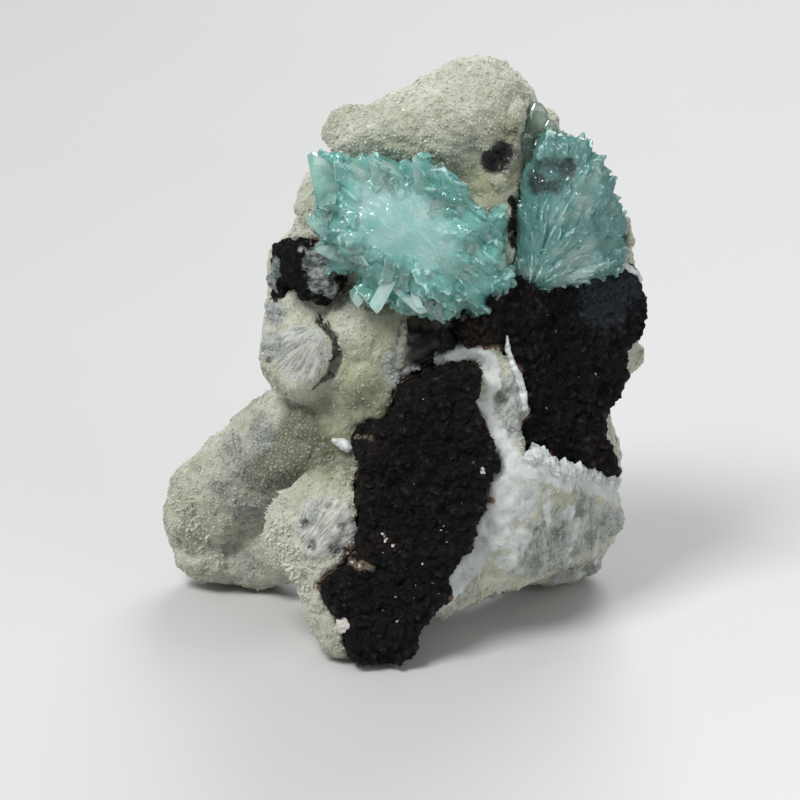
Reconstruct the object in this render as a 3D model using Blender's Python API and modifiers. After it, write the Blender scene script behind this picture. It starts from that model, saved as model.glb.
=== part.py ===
"""A hand specimen of green apophyllite: two sprays of crystals on a mass of pale zeolite
fingers, with two pieces of black basalt matrix at its front and a small one on its left.

Lengths in the tables are millimetres in the specimen's own frame: +X right, +Y away from
the viewer, +Z up, with the floor at Z = 0. The solids are made in metres.
"""

import math
import random

import bmesh
import bpy
from mathutils import Matrix, Vector

MM = 0.001

# Clearance between pieces, so that grown-together minerals touch without overlapping
GAP = 0.35 * MM
POCKET_VOXEL = 0.5 * MM
FLOOR_DEPTH = 30 * MM

# Zeolite fingers: each is a chain of (x, y, z, radius) in millimetres
FINGERS = {
    "top_lobe": [
        (-7.5, 3, 70.0, 3.1),
        (-3.2, 3, 70.1, 4.3),
        (0.9, 3, 70.6, 5.7),
        (5.6, 4, 71.9, 7.0),
        (10.2, 4, 73.8, 7.5),
        (12.0, 5, 68.5, 6.6),
        (11.5, 5, 62.0, 6.6),
    ],
    "left_edge": [
        (-10.2, 3, 61.1, 4.5),
        (-11.0, 3, 56.1, 4.2),
        (-14.4, 3, 50.6, 4.6),
        (-13.8, 1, 45.8, 4.8),
        (-14.4, -1.6, 40.2, 6.0),
    ],
    "neck": [(-6.3, -0.5, 43.5, 6.5), (-4.2, 0, 35, 7.2), (-2.8, 0, 28.3, 7.2)],
    "far_left": [
        (-12.0, 3, 27.2, 8.0),
        (-18.5, 7, 21.9, 7.6),
        (-23.7, 10, 17.2, 7.0),
        (-27.2, 11, 13.4, 6.5),
        (-28.8, 12, 10.9, 5.6),
    ],
    "far_left_foot": [
        (-28.5, 12, 6.0, 5.3),
        (-22.3, 12.5, 5.3, 5.6),
        (-16.5, 8.5, 8.0, 5.6),
    ],
    "front_left": [
        (-2.0, -7, 20.2, 7.0),
        (-9.5, -8.6, 18.6, 6.8),
        (-12.9, -8.8, 16.3, 6.6),
    ],
    "front_foot": [(-8.2, -11.5, 10, 6.2), (-7.4, -13, 5.3, 5.7), (-2.8, -13, 3.6, 4.8)],
    "upper_body": [(-0.7, 5, 57.9, 10.5), (6.3, 5, 53.6, 11.0), (21.7, 7, 55, 8.4)],
    "lower_body": [
        (11.2, 4, 41.7, 8.0),
        (4.9, -2, 29.1, 11.2),
        (6.3, -2, 18.5, 10.5),
        (3.5, -5, 10.7, 8.0),
    ],
    "vein": [(14.5, -1, 34, 7.6), (13.3, -2, 23.1, 10.7), (12.8, -3.6, 16.3, 8.2)],
    "right_side": [(21.5, 9, 43, 9.8), (20.6, 8, 31, 7.8), (22.6, 8.6, 19, 8.0)],
    "lower_right": [(19.9, 3, 16.6, 8.4), (24.4, 9, 12.0, 6.6), (9.1, -6, 11.1, 6)],
    "under_lobe": [(5.2, -3, 6.8, 4.4), (12.6, 4, 8.2, 5.4), (23.6, 14.5, 5.5, 5.8)],
    "right_rim": [(21.5, 9, 50, 8), (26.8, 10.5, 49.5, 5.4), (27.9, 12, 36, 5.2)],
    "right_knob": [(27.5, 5, 55, 4.0), (28.6, 3, 55.3, 2.8)],
    "back_upper": [(3, 11, 56, 9.5), (-4, 16, 57, 6.4), (-8, 19, 58, 4.8)],
    "back_right": [(13, 12, 56, 9.0), (17, 17, 62, 6.0), (18, 19, 66.5, 4.4)],
    "back_middle": [(4, 11, 40, 10.5), (-7, 15, 41, 7.2), (-13, 18, 44, 5.0)],
    "back_low": [(5, 9, 22, 10.5), (11, 16, 27, 7.4), (13, 20, 31, 5.2)],
    "back_foot": [(2, 12, 12, 8.0), (-3, 16, 6.2, 6.2)],
}

# Broken face of each basalt piece: its outline from a corner below it, to the right and up
FRONT_FACE = [
    (-1, 34.6), (0.3, 37), (1, 38.8), (3.2, 40), (6.5, 41.6), (9, 41.8), (11.8, 42.4),
    (11, 40), (10, 37.5), (11, 35.5), (12.5, 32), (14, 28.5), (12, 25.5), (11.5, 22.5),
    (10.5, 20), (9.5, 16.5), (7.5, 14.5), (5, 11.5), (7, 10.5), (5, 9), (2.5, 6),
    (1, 2.5), (0, 1.4), (-6.5, 1.4), (-8, 4.5), (-9, 8), (-10.8, 11.5), (-10.8, 13.5),
    (-7, 14.6), (-5.2, 17), (-5.2, 22), (-5.6, 25), (-4.2, 28), (-5.4, 30.5),
    (-5.4, 32.6), (-3.4, 33.6),
]  # fmt: skip
RIGHT_FACE = [
    (19, 50), (21, 52), (24.5, 52.5), (27, 52), (29.5, 52.5), (32, 53.5), (33.5, 51.5),
    (35.5, 52), (39, 51), (40.4, 48.5), (40.8, 46), (40.4, 41.5), (37, 39.5),
    (37.3, 36.5), (36, 33.5), (34.3, 31), (32.5, 27.5), (34.3, 26), (35.3, 23.5),
    (35.3, 21), (32.5, 23), (29.5, 24), (26, 25), (24.5, 23.5), (23.5, 26.5),
    (22, 27.5), (21, 26.5), (20, 27), (19, 30), (18.5, 32.5), (20.5, 34),
    (20.5, 36.5), (19.5, 39), (18.5, 42.5), (19, 46),
]  # fmt: skip
FACE_CORNER_Y = {"front": -20.0, "right": -18.2}
FACE_YAW = {"front": 8.0, "right": 28.0}
FACE_LEAN = {"front": 9.3, "right": 5.0}
FACE_THICKNESS = {"front": 10.0, "right": 14.0}

# No zeolite stands in front of a broken face, as seen along this line of sight
SIGHT = (0.0, -0.94, 0.34)
CLEARED = 20.0

# Dark rough rock that joins the right-hand basalt behind the main spray
MIDDLE_ROCK = [(15.5, -2.5, 48.5, 4.4), (11.4, -3.5, 48.2, 4.2), (10.6, -3.6, 44.2, 3.6)]
LEFT_ROCK = [
    (-16.0, -0.5, 53.6, 2.4),
    (-13.6, -2.2, 53.6, 3.5),
    (-11.9, -3.4, 51.8, 3.4),
]
LEFT_ROCK_RIM = [(-16.9, -0.8, 51.6, 1.6), (-17.2, -0.6, 48.6, 1.4)]

# Hollows that open at the front: under the main spray, and the small one in the vein
CAVE = [(2.2, -9, 42.6, 3.4), (2.0, -4, 42.4, 2.8), (4.6, -9.5, 41.4, 2.4)]
VUG = [(13.8, -13.5, 37.4, 2.2), (13.9, -9.5, 37.2, 1.8)]

# Broken end of the left-hand finger: where its flat face is, and which way it faces
KNOB_FACE = (-12.6, -6.6, 43.6)
KNOB_FACING = (-0.25, -0.93, 0.10)
KNOB_CUT = 14.0

# Main spray: its dome stands on the zeolite between these directions
SPRAY_CENTRE = (1.2, -4.4, 59.0)
SPRAY_LONG = (0.80, 0.08, -0.59)
SPRAY_OUT = (-0.16, -0.93, 0.33)
SPRAY_HALF_LENGTH = 15.2
SPRAY_HALF_WIDTH = 10.2
SPRAY_HEIGHT = 8.6
SPRAY_CRYSTALS = 28
SPRAY_LEAN = (-0.45, -0.55, 0.60)

# Crystals that stand out of the main spray: root, tip, width, thickness, size of its flat end
MAIN_BLADES = [
    ((-6.6, -5.0, 60), (-10.0, -9.5, 72.0), 5.6, 3.0, 0.80),
    ((-0.7, -7.0, 62), (-4.2, -10, 72.0), 3.4, 2.4, 0.45),
    ((5.4, -7.0, 61), (1.8, -11, 72.2), 3.2, 2.4, 0.30),
    ((7.7, -7.0, 58), (5.8, -11.4, 70.0), 4.8, 2.6, 0.55),
    ((7.8, -6.6, 54), (10.4, -11, 64.6), 3.8, 2.4, 0.50),
    ((7.8, -5.6, 51), (13.2, -10, 59.2), 3.6, 2.4, 0.50),
    ((6.9, -4.6, 49.5), (14.6, -8.4, 54.3), 3.4, 2.4, 0.50),
    ((2.0, -5.0, 54), (5.2, -9.6, 47.4), 3.8, 2.4, 0.50),
    ((-4.6, -3.6, 58), (-12.0, -7.4, 62.0), 3.6, 3.0, 0.70),
    ((-4.4, -3.6, 56), (-11.6, -7.0, 58.0), 3.2, 2.6, 0.70),
    ((-4.1, -3.6, 55.6), (-10.2, -7.0, 54.4), 3.0, 2.4, 0.60),
    ((-1.0, -6.0, 54), (-4.8, -10.6, 49.6), 3.0, 1.2, 0.50),
    ((-3.4, -5.0, 54.4), (-7.9, -8.6, 50.0), 2.8, 1.2, 0.50),
    ((-1.4, -6.0, 53.4), (3.4, -10.2, 48.8), 2.0, 1.2, 0.60),
]

# Right-hand spray: blades that fan out from one root, over the zeolite's shoulder
FAN_ROOT = (17.6, -2.2, 51.6)
FAN_ANGLES = (6.0, 84.0)
FAN_BLADES = 13
FAN_REACH = ((6.0, 13.0), (26.0, 14.0), (45.0, 15.8), (62.0, 18.8), (78.0, 21.0), (90.0, 20.4))
FAN_BACK = 5.5
FAN_WIDTH = 3.8
FAN_THICKNESS = 3.2
FAN_SWELL = [(18.6, -1.0, 53.5, 4.2), (20.4, -0.2, 59, 5.0), (20.8, 0.8, 64.8, 5.0)]

TIP_CRYSTALS = [
    ((17.2, 2.0, 68), (18.2, 0.6, 76.0), 3.0, 2.4, 0.5),
    ((18.2, 2.0, 68), (19.9, 0.6, 73.6), 2.8, 2.2, 0.5),
]

COLOURS = {
    "zeolite": ((0.62, 0.63, 0.52), 0.45),
    "basalt": ((0.012, 0.012, 0.013), 0.55),
    "grey rock": ((0.10, 0.11, 0.11), 0.40),
    "apophyllite": ((0.20, 0.58, 0.52), 0.08),
    "clear tip": ((0.45, 0.60, 0.53), 0.08),
}


def clear_scene():
    for obj in list(bpy.data.objects):
        bpy.data.objects.remove(obj)


def collection(name):
    made = bpy.data.collections.new(name)
    bpy.context.scene.collection.children.link(made)
    return made


def material(name):
    """A plain finish of the part's colour."""
    colour, roughness = COLOURS[name]
    made = bpy.data.materials.new(name)
    made.use_nodes = True
    shader = made.node_tree.nodes["Principled BSDF"]
    shader.inputs["Base Color"].default_value = (*colour, 1)
    shader.inputs["Roughness"].default_value = roughness
    shader.inputs["Metallic"].default_value = 0
    return made


def link_mesh(name, bm, into):
    mesh = bpy.data.meshes.new(name)
    bm.to_mesh(mesh)
    bm.free()
    obj = bpy.data.objects.new(name, mesh)
    into.objects.link(obj)
    return obj


def modifier(obj, kind, **settings):
    made = obj.modifiers.new(kind.lower(), kind)
    for key, value in settings.items():
        setattr(made, key, value)
    return made


def bake(obj):
    """Puts the result of the modifiers into the object's own mesh."""
    graph = bpy.context.evaluated_depsgraph_get()
    graph.update()
    mesh = bpy.data.meshes.new_from_object(obj.evaluated_get(graph))
    obj.modifiers.clear()
    obj.data = mesh
    return obj


def keep_largest(obj):
    """Drops the crumbs that a cut leaves beside the main body."""
    bm = bmesh.new()
    bm.from_mesh(obj.data)
    left = set(bm.verts)
    pieces = []
    while left:
        piece = {left.pop()}
        edge = set(piece)
        while edge:
            edge = {e.other_vert(v) for v in edge for e in v.link_edges} - piece
            piece |= edge
        left -= piece
        pieces.append(piece)
    largest = max(pieces, key=len)
    crumbs = [v for piece in pieces if piece is not largest for v in piece]
    bmesh.ops.delete(bm, geom=crumbs, context="VERTS")
    bm.to_mesh(obj.data)
    bm.free()
    return obj


def add_chain(bm, stations, spacing=0.4):
    """Balls along a chain of stations, close enough to read as one tapering finger."""
    for start, end in zip(stations, stations[1:]):
        a, b = Vector(start[:3]), Vector(end[:3])
        count = max(1, math.ceil((b - a).length / (spacing * min(start[3], end[3]))))
        for step in range(count + 1):
            share = step / count
            radius = start[3] + (end[3] - start[3]) * share
            centre = a.lerp(b, share) * MM
            bmesh.ops.create_icosphere(
                bm, subdivisions=3, radius=radius * MM, matrix=Matrix.Translation(centre)
            )


def lumps(obj, size, depth, kind="CLOUDS"):
    """Raises lumps of that size, in metres, and depth over the whole surface."""
    texture = bpy.data.textures.new(f"{obj.name} {kind.lower()} {size * 1000:.1f}", kind)
    texture.noise_scale = size
    return modifier(obj, "DISPLACE", texture=texture, strength=depth, mid_level=0.5)


def fuse(obj, voxel, smooth):
    """Grows the overlapping shapes of one mesh together, with soft creases."""
    modifier(obj, "REMESH", mode="VOXEL", voxel_size=voxel)
    if smooth:
        modifier(obj, "SMOOTH", factor=0.5, iterations=smooth)


def thin_out(obj, triangles):
    """Lowers a baked mesh to about that many triangles."""
    sides = sum(len(face.vertices) - 2 for face in obj.data.polygons)
    modifier(obj, "DECIMATE", ratio=min(1.0, triangles / sides), use_collapse_triangulate=True)
    return bake(obj)


def cut(obj, cutter):
    modifier(obj, "BOOLEAN", operation="DIFFERENCE", object=cutter)
    bake(obj)
    return keep_largest(obj)


def helper(obj, cutters):
    """Keeps an object out of the model, as a cutter."""
    for owner in list(obj.users_collection):
        owner.objects.unlink(obj)
    cutters.objects.link(obj)
    obj.hide_render = True
    obj.display_type = "WIRE"
    return obj


def swollen(name, solids, cutters, triangles):
    """A cutter that is the envelope of those solids, larger all round by the gap."""
    bm = bmesh.new()
    for solid in solids:
        bm.from_mesh(solid.data)
    grown = link_mesh(name, bm, cutters)
    modifier(grown, "REMESH", mode="VOXEL", voxel_size=POCKET_VOXEL)
    modifier(grown, "DISPLACE", strength=GAP + POCKET_VOXEL / 2, mid_level=0)
    modifier(grown, "REMESH", mode="VOXEL", voxel_size=POCKET_VOXEL)
    bake(grown)
    thin_out(grown, triangles)
    return helper(grown, cutters)


def floor_block(cutters):
    """Everything below the floor, wide enough to pass under the whole specimen."""
    bm = bmesh.new()
    place = Matrix.Translation((0, 0, -FLOOR_DEPTH / 2)) @ Matrix.Diagonal((0.2, 0.2, FLOOR_DEPTH, 1))
    bmesh.ops.create_cube(bm, size=1, matrix=place)
    return helper(link_mesh("floor_block", bm, cutters), cutters)


def face_frame(side):
    """Where a basalt face lies: local X runs right, local Y up the face, local Z out of it."""
    turn = Matrix.Rotation(math.radians(FACE_YAW[side]), 4, "Z")
    stand = Matrix.Rotation(math.radians(90 - FACE_LEAN[side]), 4, "X")
    return Matrix.Translation((0, FACE_CORNER_Y[side] * MM, 0)) @ turn @ stand


def sight_frame(side):
    """The same face, but with local Z along the line of sight."""
    frame = face_frame(side)
    for row in range(3):
        frame[row][2] = SIGHT[row]
    return frame


def slab(outline, frame, near, far):
    """A prism of that outline, from one distance out of the frame's plane to another."""
    curve = bpy.data.curves.new("outline", "CURVE")
    curve.dimensions = "2D"
    curve.fill_mode = "BOTH"
    curve.extrude = (near - far) / 2 * MM
    spline = curve.splines.new("POLY")
    spline.points.add(len(outline) - 1)
    for point, (right, up) in zip(spline.points, outline):
        point.co = (right * MM, up * MM, 0, 1)
    spline.use_cyclic_u = True
    flat = bpy.data.objects.new("outline", curve)
    bpy.context.scene.collection.objects.link(flat)
    graph = bpy.context.evaluated_depsgraph_get()
    graph.update()
    mesh = bpy.data.meshes.new_from_object(flat.evaluated_get(graph))
    bpy.data.objects.remove(flat)
    bm = bmesh.new()
    bm.from_mesh(mesh)
    bmesh.ops.remove_doubles(bm, verts=bm.verts, dist=1e-6)
    middle = Matrix.Translation((0, 0, (near + far) / 2 * MM))
    bmesh.ops.transform(bm, verts=bm.verts, matrix=frame @ middle)
    bmesh.ops.recalc_face_normals(bm, faces=bm.faces)
    return bm


def broken_rock(obj, triangles):
    """Rough fracture surface over a slab of rock."""
    fuse(obj, voxel=0.7 * MM, smooth=2)
    lumps(obj, 4 * MM, 1.3 * MM)
    lumps(obj, 1.4 * MM, 0.5 * MM)
    bake(obj)
    return thin_out(obj, triangles)


def add_crystal(bm, root, tip, width, thickness, end, spin=0.0):
    """A four-sided crystal from its root to a tip that narrows to a flat end."""
    root, tip = Vector(root) * MM, Vector(tip) * MM
    along = tip - root
    point = min(0.45 * along.length, 0.7 * width * MM)
    body = along.length - point
    turn = along.to_track_quat("Z", "Y").to_matrix().to_4x4()
    place = Matrix.Translation(root) @ turn @ Matrix.Rotation(spin, 4, "Z")
    made = bmesh.ops.create_cone(
        bm, cap_ends=True, segments=4, radius1=0.42, radius2=0.5, depth=1
    )["verts"]
    quarter = Matrix.Rotation(math.pi / 4, 4, "Z")
    square = Matrix.Diagonal((width * MM * math.sqrt(2), thickness * MM * math.sqrt(2), body, 1))
    lift = Matrix.Translation((0, 0, body / 2))
    bmesh.ops.transform(bm, verts=made, matrix=lift @ square @ quarter)
    top = max({f for v in made for f in v.link_faces}, key=lambda f: f.calc_center_median().z)
    raised = bmesh.ops.extrude_face_region(bm, geom=[top])["geom"]
    bmesh.ops.delete(bm, geom=[top], context="FACES_ONLY")
    ends = [v for v in raised if isinstance(v, bmesh.types.BMVert)]
    narrow = Matrix.Diagonal((end, end, 1, 1))
    bmesh.ops.transform(bm, verts=ends, matrix=Matrix.Translation((0, 0, point)) @ narrow)
    bmesh.ops.transform(bm, verts=made + ends, matrix=place)


def grown_together(name, crystals, core, into):
    """One solid of many crystals and the body that they stand on."""
    base = bmesh.new()
    add_chain(base, core)
    obj = link_mesh(name, base, into)
    fuse(obj, voxel=0.9 * MM, smooth=2)
    bake(obj)
    thin_out(obj, 260)
    bm = bmesh.new()
    for crystal in crystals:
        add_crystal(bm, *crystal)
    bmesh.ops.recalc_face_normals(bm, faces=bm.faces)
    cluster = link_mesh(f"{name}_crystals", bm, into)
    modifier(obj, "BOOLEAN", operation="UNION", object=cluster, use_self=True)
    bake(obj)
    bpy.data.objects.remove(cluster)
    return keep_largest(obj)


def dome_crystals(seed):
    """Crystals over the main spray's dome, leaning the way the large ones do."""
    draw = random.Random(seed)
    long = Vector(SPRAY_LONG).normalized()
    out = Vector(SPRAY_OUT).normalized()
    out = (out - long * out.dot(long)).normalized()
    wide = out.cross(long)
    golden = math.pi * (3 - math.sqrt(5))
    found = []
    for index in range(SPRAY_CRYSTALS):
        reach = math.sqrt((index + 0.5) / SPRAY_CRYSTALS)
        angle = index * golden
        a, b = reach * math.cos(angle), reach * math.sin(angle)
        rise = math.sqrt(max(0.0, 1 - reach * reach))
        height = SPRAY_HEIGHT * (0.25 + 0.75 * rise) * draw.uniform(0.86, 1.06)
        tip = Vector(SPRAY_CENTRE) + long * (a * SPRAY_HALF_LENGTH) + wide * (b * SPRAY_HALF_WIDTH)
        tip += out * height
        axis = (long * a + wide * b) * 0.7 + out * (0.4 + rise) + Vector(SPRAY_LEAN) * 0.9
        jitter = Vector((draw.uniform(-1, 1), draw.uniform(-1, 1), draw.uniform(-1, 1)))
        axis = (axis.normalized() + jitter * 0.16).normalized()
        length = draw.uniform(5.5, 7.5)
        width = draw.uniform(2.8, 4.4)
        thickness = width * draw.uniform(0.5, 0.8)
        found.append((tip - axis * length, tip, width, thickness, draw.uniform(0.35, 0.75), draw.uniform(0, 1.5)))
    return found


def reach_at(angle):
    """How far the fan reaches at an angle, between the angles that set its outline."""
    for (low, near), (high, far) in zip(FAN_REACH, FAN_REACH[1:]):
        if angle <= high:
            return near + (far - near) * (angle - low) / (high - low)
    return FAN_REACH[-1][1]


def fan_crystals(seed):
    """Blades of the right-hand spray, in two layers that fan out from its root."""
    draw = random.Random(seed)
    first, last = FAN_ANGLES
    root = Vector(FAN_ROOT)
    found = []
    for layer, share in ((0, 1.0), (1, 0.72)):
        for index in range(FAN_BLADES - 2 * layer):
            angle = first + (last - first) * (index + 0.5 * layer) / (FAN_BLADES - 1)
            reach = reach_at(angle) * share * draw.uniform(0.95, 1.02)
            turn = math.radians(angle)
            back = FAN_BACK * share * math.cos(turn) - 2.2 * layer
            tip = root + Vector((reach * math.cos(turn), back, reach * math.sin(turn)))
            start = root + Vector((0.12 * reach * math.cos(turn), 0.6, 0.12 * reach * math.sin(turn)))
            width = FAN_WIDTH * draw.uniform(0.8, 1.1)
            found.append((start, tip, width, FAN_THICKNESS, draw.uniform(0.35, 0.6), draw.uniform(-0.3, 0.3)))
    return found


def build_basalt(side, outline, joined, triangles, into):
    bm = slab(outline, face_frame(side), 0, -FACE_THICKNESS[side])
    add_chain(bm, joined)
    return broken_rock(link_mesh(f"basalt_{side}", bm, into), triangles)


def cleared_front(side, outline, cutters):
    """What lies between the viewer and a broken face."""
    bm = slab(outline, sight_frame(side), CLEARED, 0)
    return helper(link_mesh(f"{side}_clearing", bm, cutters), cutters)


def knob_block(cutters):
    """A block whose inner face breaks off the end of the left-hand finger."""
    facing = Vector(KNOB_FACING).normalized()
    turn = facing.to_track_quat("Z", "Y").to_matrix().to_4x4()
    size = KNOB_CUT * MM
    middle = Matrix.Translation(Vector(KNOB_FACE) * MM + facing * size / 2)
    bm = bmesh.new()
    bmesh.ops.create_cube(bm, size=size, matrix=middle @ turn)
    return helper(link_mesh("knob_block", bm, cutters), cutters)


def build_left_rock(into):
    bm = bmesh.new()
    add_chain(bm, LEFT_ROCK)
    add_chain(bm, LEFT_ROCK_RIM)
    obj = link_mesh("basalt_left", bm, into)
    fuse(obj, voxel=0.6 * MM, smooth=1)
    lumps(obj, 2.2 * MM, 1.1 * MM)
    bake(obj)
    return thin_out(obj, 320)


def build_zeolite(into):
    bm = bmesh.new()
    for stations in FINGERS.values():
        add_chain(bm, stations)
    obj = link_mesh("zeolite_fingers", bm, into)
    fuse(obj, voxel=0.9 * MM, smooth=5)
    lumps(obj, 7 * MM, 2.0 * MM)
    lumps(obj, 2.6 * MM, 0.9 * MM)
    bake(obj)
    return thin_out(obj, 3600)


def hollow(name, stations, cutters):
    bm = bmesh.new()
    add_chain(bm, stations)
    obj = link_mesh(name, bm, cutters)
    fuse(obj, voxel=0.6 * MM, smooth=2)
    bake(obj)
    thin_out(obj, 160)
    return helper(obj, cutters)


def centre_on_origin(nodes):
    """Moves the specimen so that its origin is the middle of its box, at floor level."""
    corners = [v.co for node in nodes for v in node.data.vertices]
    middle = [(min(c[i] for c in corners) + max(c[i] for c in corners)) / 2 for i in (0, 1)]
    low = min(c.z for c in corners)
    for node in nodes:
        node.data.transform(Matrix.Translation((-middle[0], -middle[1], -low)))
    print("moved by", [round(-1000 * m, 3) for m in (*middle, low)], "mm")


def main():
    clear_scene()
    parts = collection("apophyllite_specimen")
    cutters = collection("cutters")
    bpy.context.view_layer.update()

    main_core = [(-4.5, -1.5, 61.5, 5.0), (2.0, -2.5, 58.0, 6.0), (8.5, -1.5, 53.5, 4.4)]
    main_crystals = MAIN_BLADES + dome_crystals(seed=7)
    spray = grown_together("apophyllite_main", main_crystals, main_core, parts)
    fan = grown_together("apophyllite_right", fan_crystals(seed=3), FAN_SWELL, parts)
    tip_core = [(17.6, 2.4, 68.0, 1.6), (18.2, 2.0, 70.0, 1.4)]
    tip = grown_together("apophyllite_tip", TIP_CRYSTALS, tip_core, parts)

    floor = floor_block(cutters)
    spray_pocket = swollen("spray_pocket", [spray], cutters, 1000)
    cut(fan, spray_pocket)
    fan_pocket = swollen("fan_pocket", [fan], cutters, 700)
    cut(tip, fan_pocket)

    front = build_basalt("front", FRONT_FACE, [], 900, parts)
    right = build_basalt("right", RIGHT_FACE, MIDDLE_ROCK, 1000, parts)
    left = build_left_rock(parts)
    cut(front, floor)
    front_pocket = swollen("front_pocket", [front], cutters, 1000)
    for pocket in (spray_pocket, fan_pocket, front_pocket):
        cut(right, pocket)
    thin_out(right, 1000)
    cut(left, spray_pocket)

    zeolite = build_zeolite(parts)
    neighbours = [spray, fan, tip, front, right, left]
    cut(zeolite, swollen("zeolite_pocket", neighbours, cutters, 3600))
    cut(zeolite, hollow("cave", CAVE, cutters))
    cut(zeolite, hollow("vug", VUG, cutters))
    cut(zeolite, cleared_front("front", FRONT_FACE, cutters))
    cut(zeolite, cleared_front("right", RIGHT_FACE, cutters))
    cut(zeolite, knob_block(cutters))
    thin_out(zeolite, 3800)
    cut(zeolite, floor)

    finishes = {
        zeolite: "zeolite",
        front: "basalt",
        right: "basalt",
        left: "grey rock",
        spray: "apophyllite",
        fan: "apophyllite",
        tip: "clear tip",
    }
    for node, finish in finishes.items():
        node.data.materials.clear()
        node.data.materials.append(material(finish))
    centre_on_origin(list(finishes))


main()
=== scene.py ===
"""The looks of the apophyllite specimen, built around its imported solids.

A place given as (u, v) is a pixel of the photograph's 800 by 800 frame: the line of sight
through it is followed to the surface that it meets. Other lengths are in metres.
"""

import math
import random

import bmesh
import bpy
import numpy as np
from mathutils import Matrix, Vector, kdtree, noise
from mathutils.bvhtree import BVHTree


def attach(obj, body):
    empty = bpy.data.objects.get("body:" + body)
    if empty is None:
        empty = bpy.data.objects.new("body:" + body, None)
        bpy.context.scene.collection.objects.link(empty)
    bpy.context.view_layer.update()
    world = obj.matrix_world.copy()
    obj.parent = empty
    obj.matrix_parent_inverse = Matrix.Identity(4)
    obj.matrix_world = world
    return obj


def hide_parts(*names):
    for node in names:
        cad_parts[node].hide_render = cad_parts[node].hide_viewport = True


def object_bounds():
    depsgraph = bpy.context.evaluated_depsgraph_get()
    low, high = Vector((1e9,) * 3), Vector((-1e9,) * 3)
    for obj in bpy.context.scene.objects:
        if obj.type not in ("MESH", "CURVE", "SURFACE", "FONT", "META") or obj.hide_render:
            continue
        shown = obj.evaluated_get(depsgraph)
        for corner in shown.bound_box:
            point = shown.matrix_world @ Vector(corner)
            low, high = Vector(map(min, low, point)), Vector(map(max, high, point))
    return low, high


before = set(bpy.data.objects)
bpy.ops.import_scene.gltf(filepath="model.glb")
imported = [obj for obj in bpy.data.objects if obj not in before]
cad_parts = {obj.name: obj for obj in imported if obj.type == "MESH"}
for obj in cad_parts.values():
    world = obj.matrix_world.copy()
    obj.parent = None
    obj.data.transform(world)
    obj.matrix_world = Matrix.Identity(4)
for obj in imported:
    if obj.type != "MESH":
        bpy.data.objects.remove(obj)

MM = 0.001
# Noise with a direction is otherwise drawn anew in each run
noise.seed_set(7)
CAD_LOW, CAD_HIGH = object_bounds()

# The photograph's camera, in the specimen's frame
MOVED = Vector((0.471, -2.4, 0.0)) * MM
LOOKED_AT = Vector((-0.7, 0.0, 32.8)) * MM + MOVED
TILT = math.radians(20)
FORWARD = Vector((0, math.cos(TILT), -math.sin(TILT)))
UPWARD = Vector((0, math.sin(TILT), math.cos(TILT)))
DISTANCE = 0.56
EYE = LOOKED_AT - FORWARD * DISTANCE
LENS = 180
SENSOR = 36
FRAME_PIXELS = 800
PIXEL = SENSOR / LENS / FRAME_PIXELS * DISTANCE


def at(x, y, z):
    """A place measured in millimetres from the photograph."""
    return Vector((x, y, z)) * MM + MOVED


def line_of_sight(u, v):
    middle = FRAME_PIXELS / 2
    step = SENSOR / LENS / FRAME_PIXELS
    ray = FORWARD + Vector((1, 0, 0)) * (u - middle) * step + UPWARD * (middle - v) * step
    return ray.normalized()


def picture(where):
    """The pixel (u, v) of each place."""
    ray = where - np.array(EYE)
    scale = LENS / SENSOR * FRAME_PIXELS / (ray @ np.array(FORWARD))
    middle = FRAME_PIXELS / 2
    return middle + ray[:, 0] * scale, middle - (ray @ np.array(UPWARD)) * scale


class Socket:
    """A node's output. Arithmetic on it adds Math nodes."""

    def __init__(self, plan, socket):
        self.plan = plan
        self.socket = socket

    def __add__(self, other):
        return self.plan.math("ADD", self, other)

    def __radd__(self, other):
        return self.plan.math("ADD", other, self)

    def __sub__(self, other):
        return self.plan.math("SUBTRACT", self, other)

    def __rsub__(self, other):
        return self.plan.math("SUBTRACT", other, self)

    def __mul__(self, other):
        return self.plan.math("MULTIPLY", self, other)

    def __rmul__(self, other):
        return self.plan.math("MULTIPLY", other, self)

    def __truediv__(self, other):
        return self.plan.math("DIVIDE", self, other)

    def __pow__(self, other):
        return self.plan.math("POWER", self, other)

    def above(self, low, high):
        """0 up to low, 1 from high, smooth between."""
        return self.plan.get(
            "ShaderNodeMapRange",
            {"interpolation_type": "SMOOTHSTEP"},
            {"Value": self, "From Min": low, "From Max": high},
        )


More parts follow.
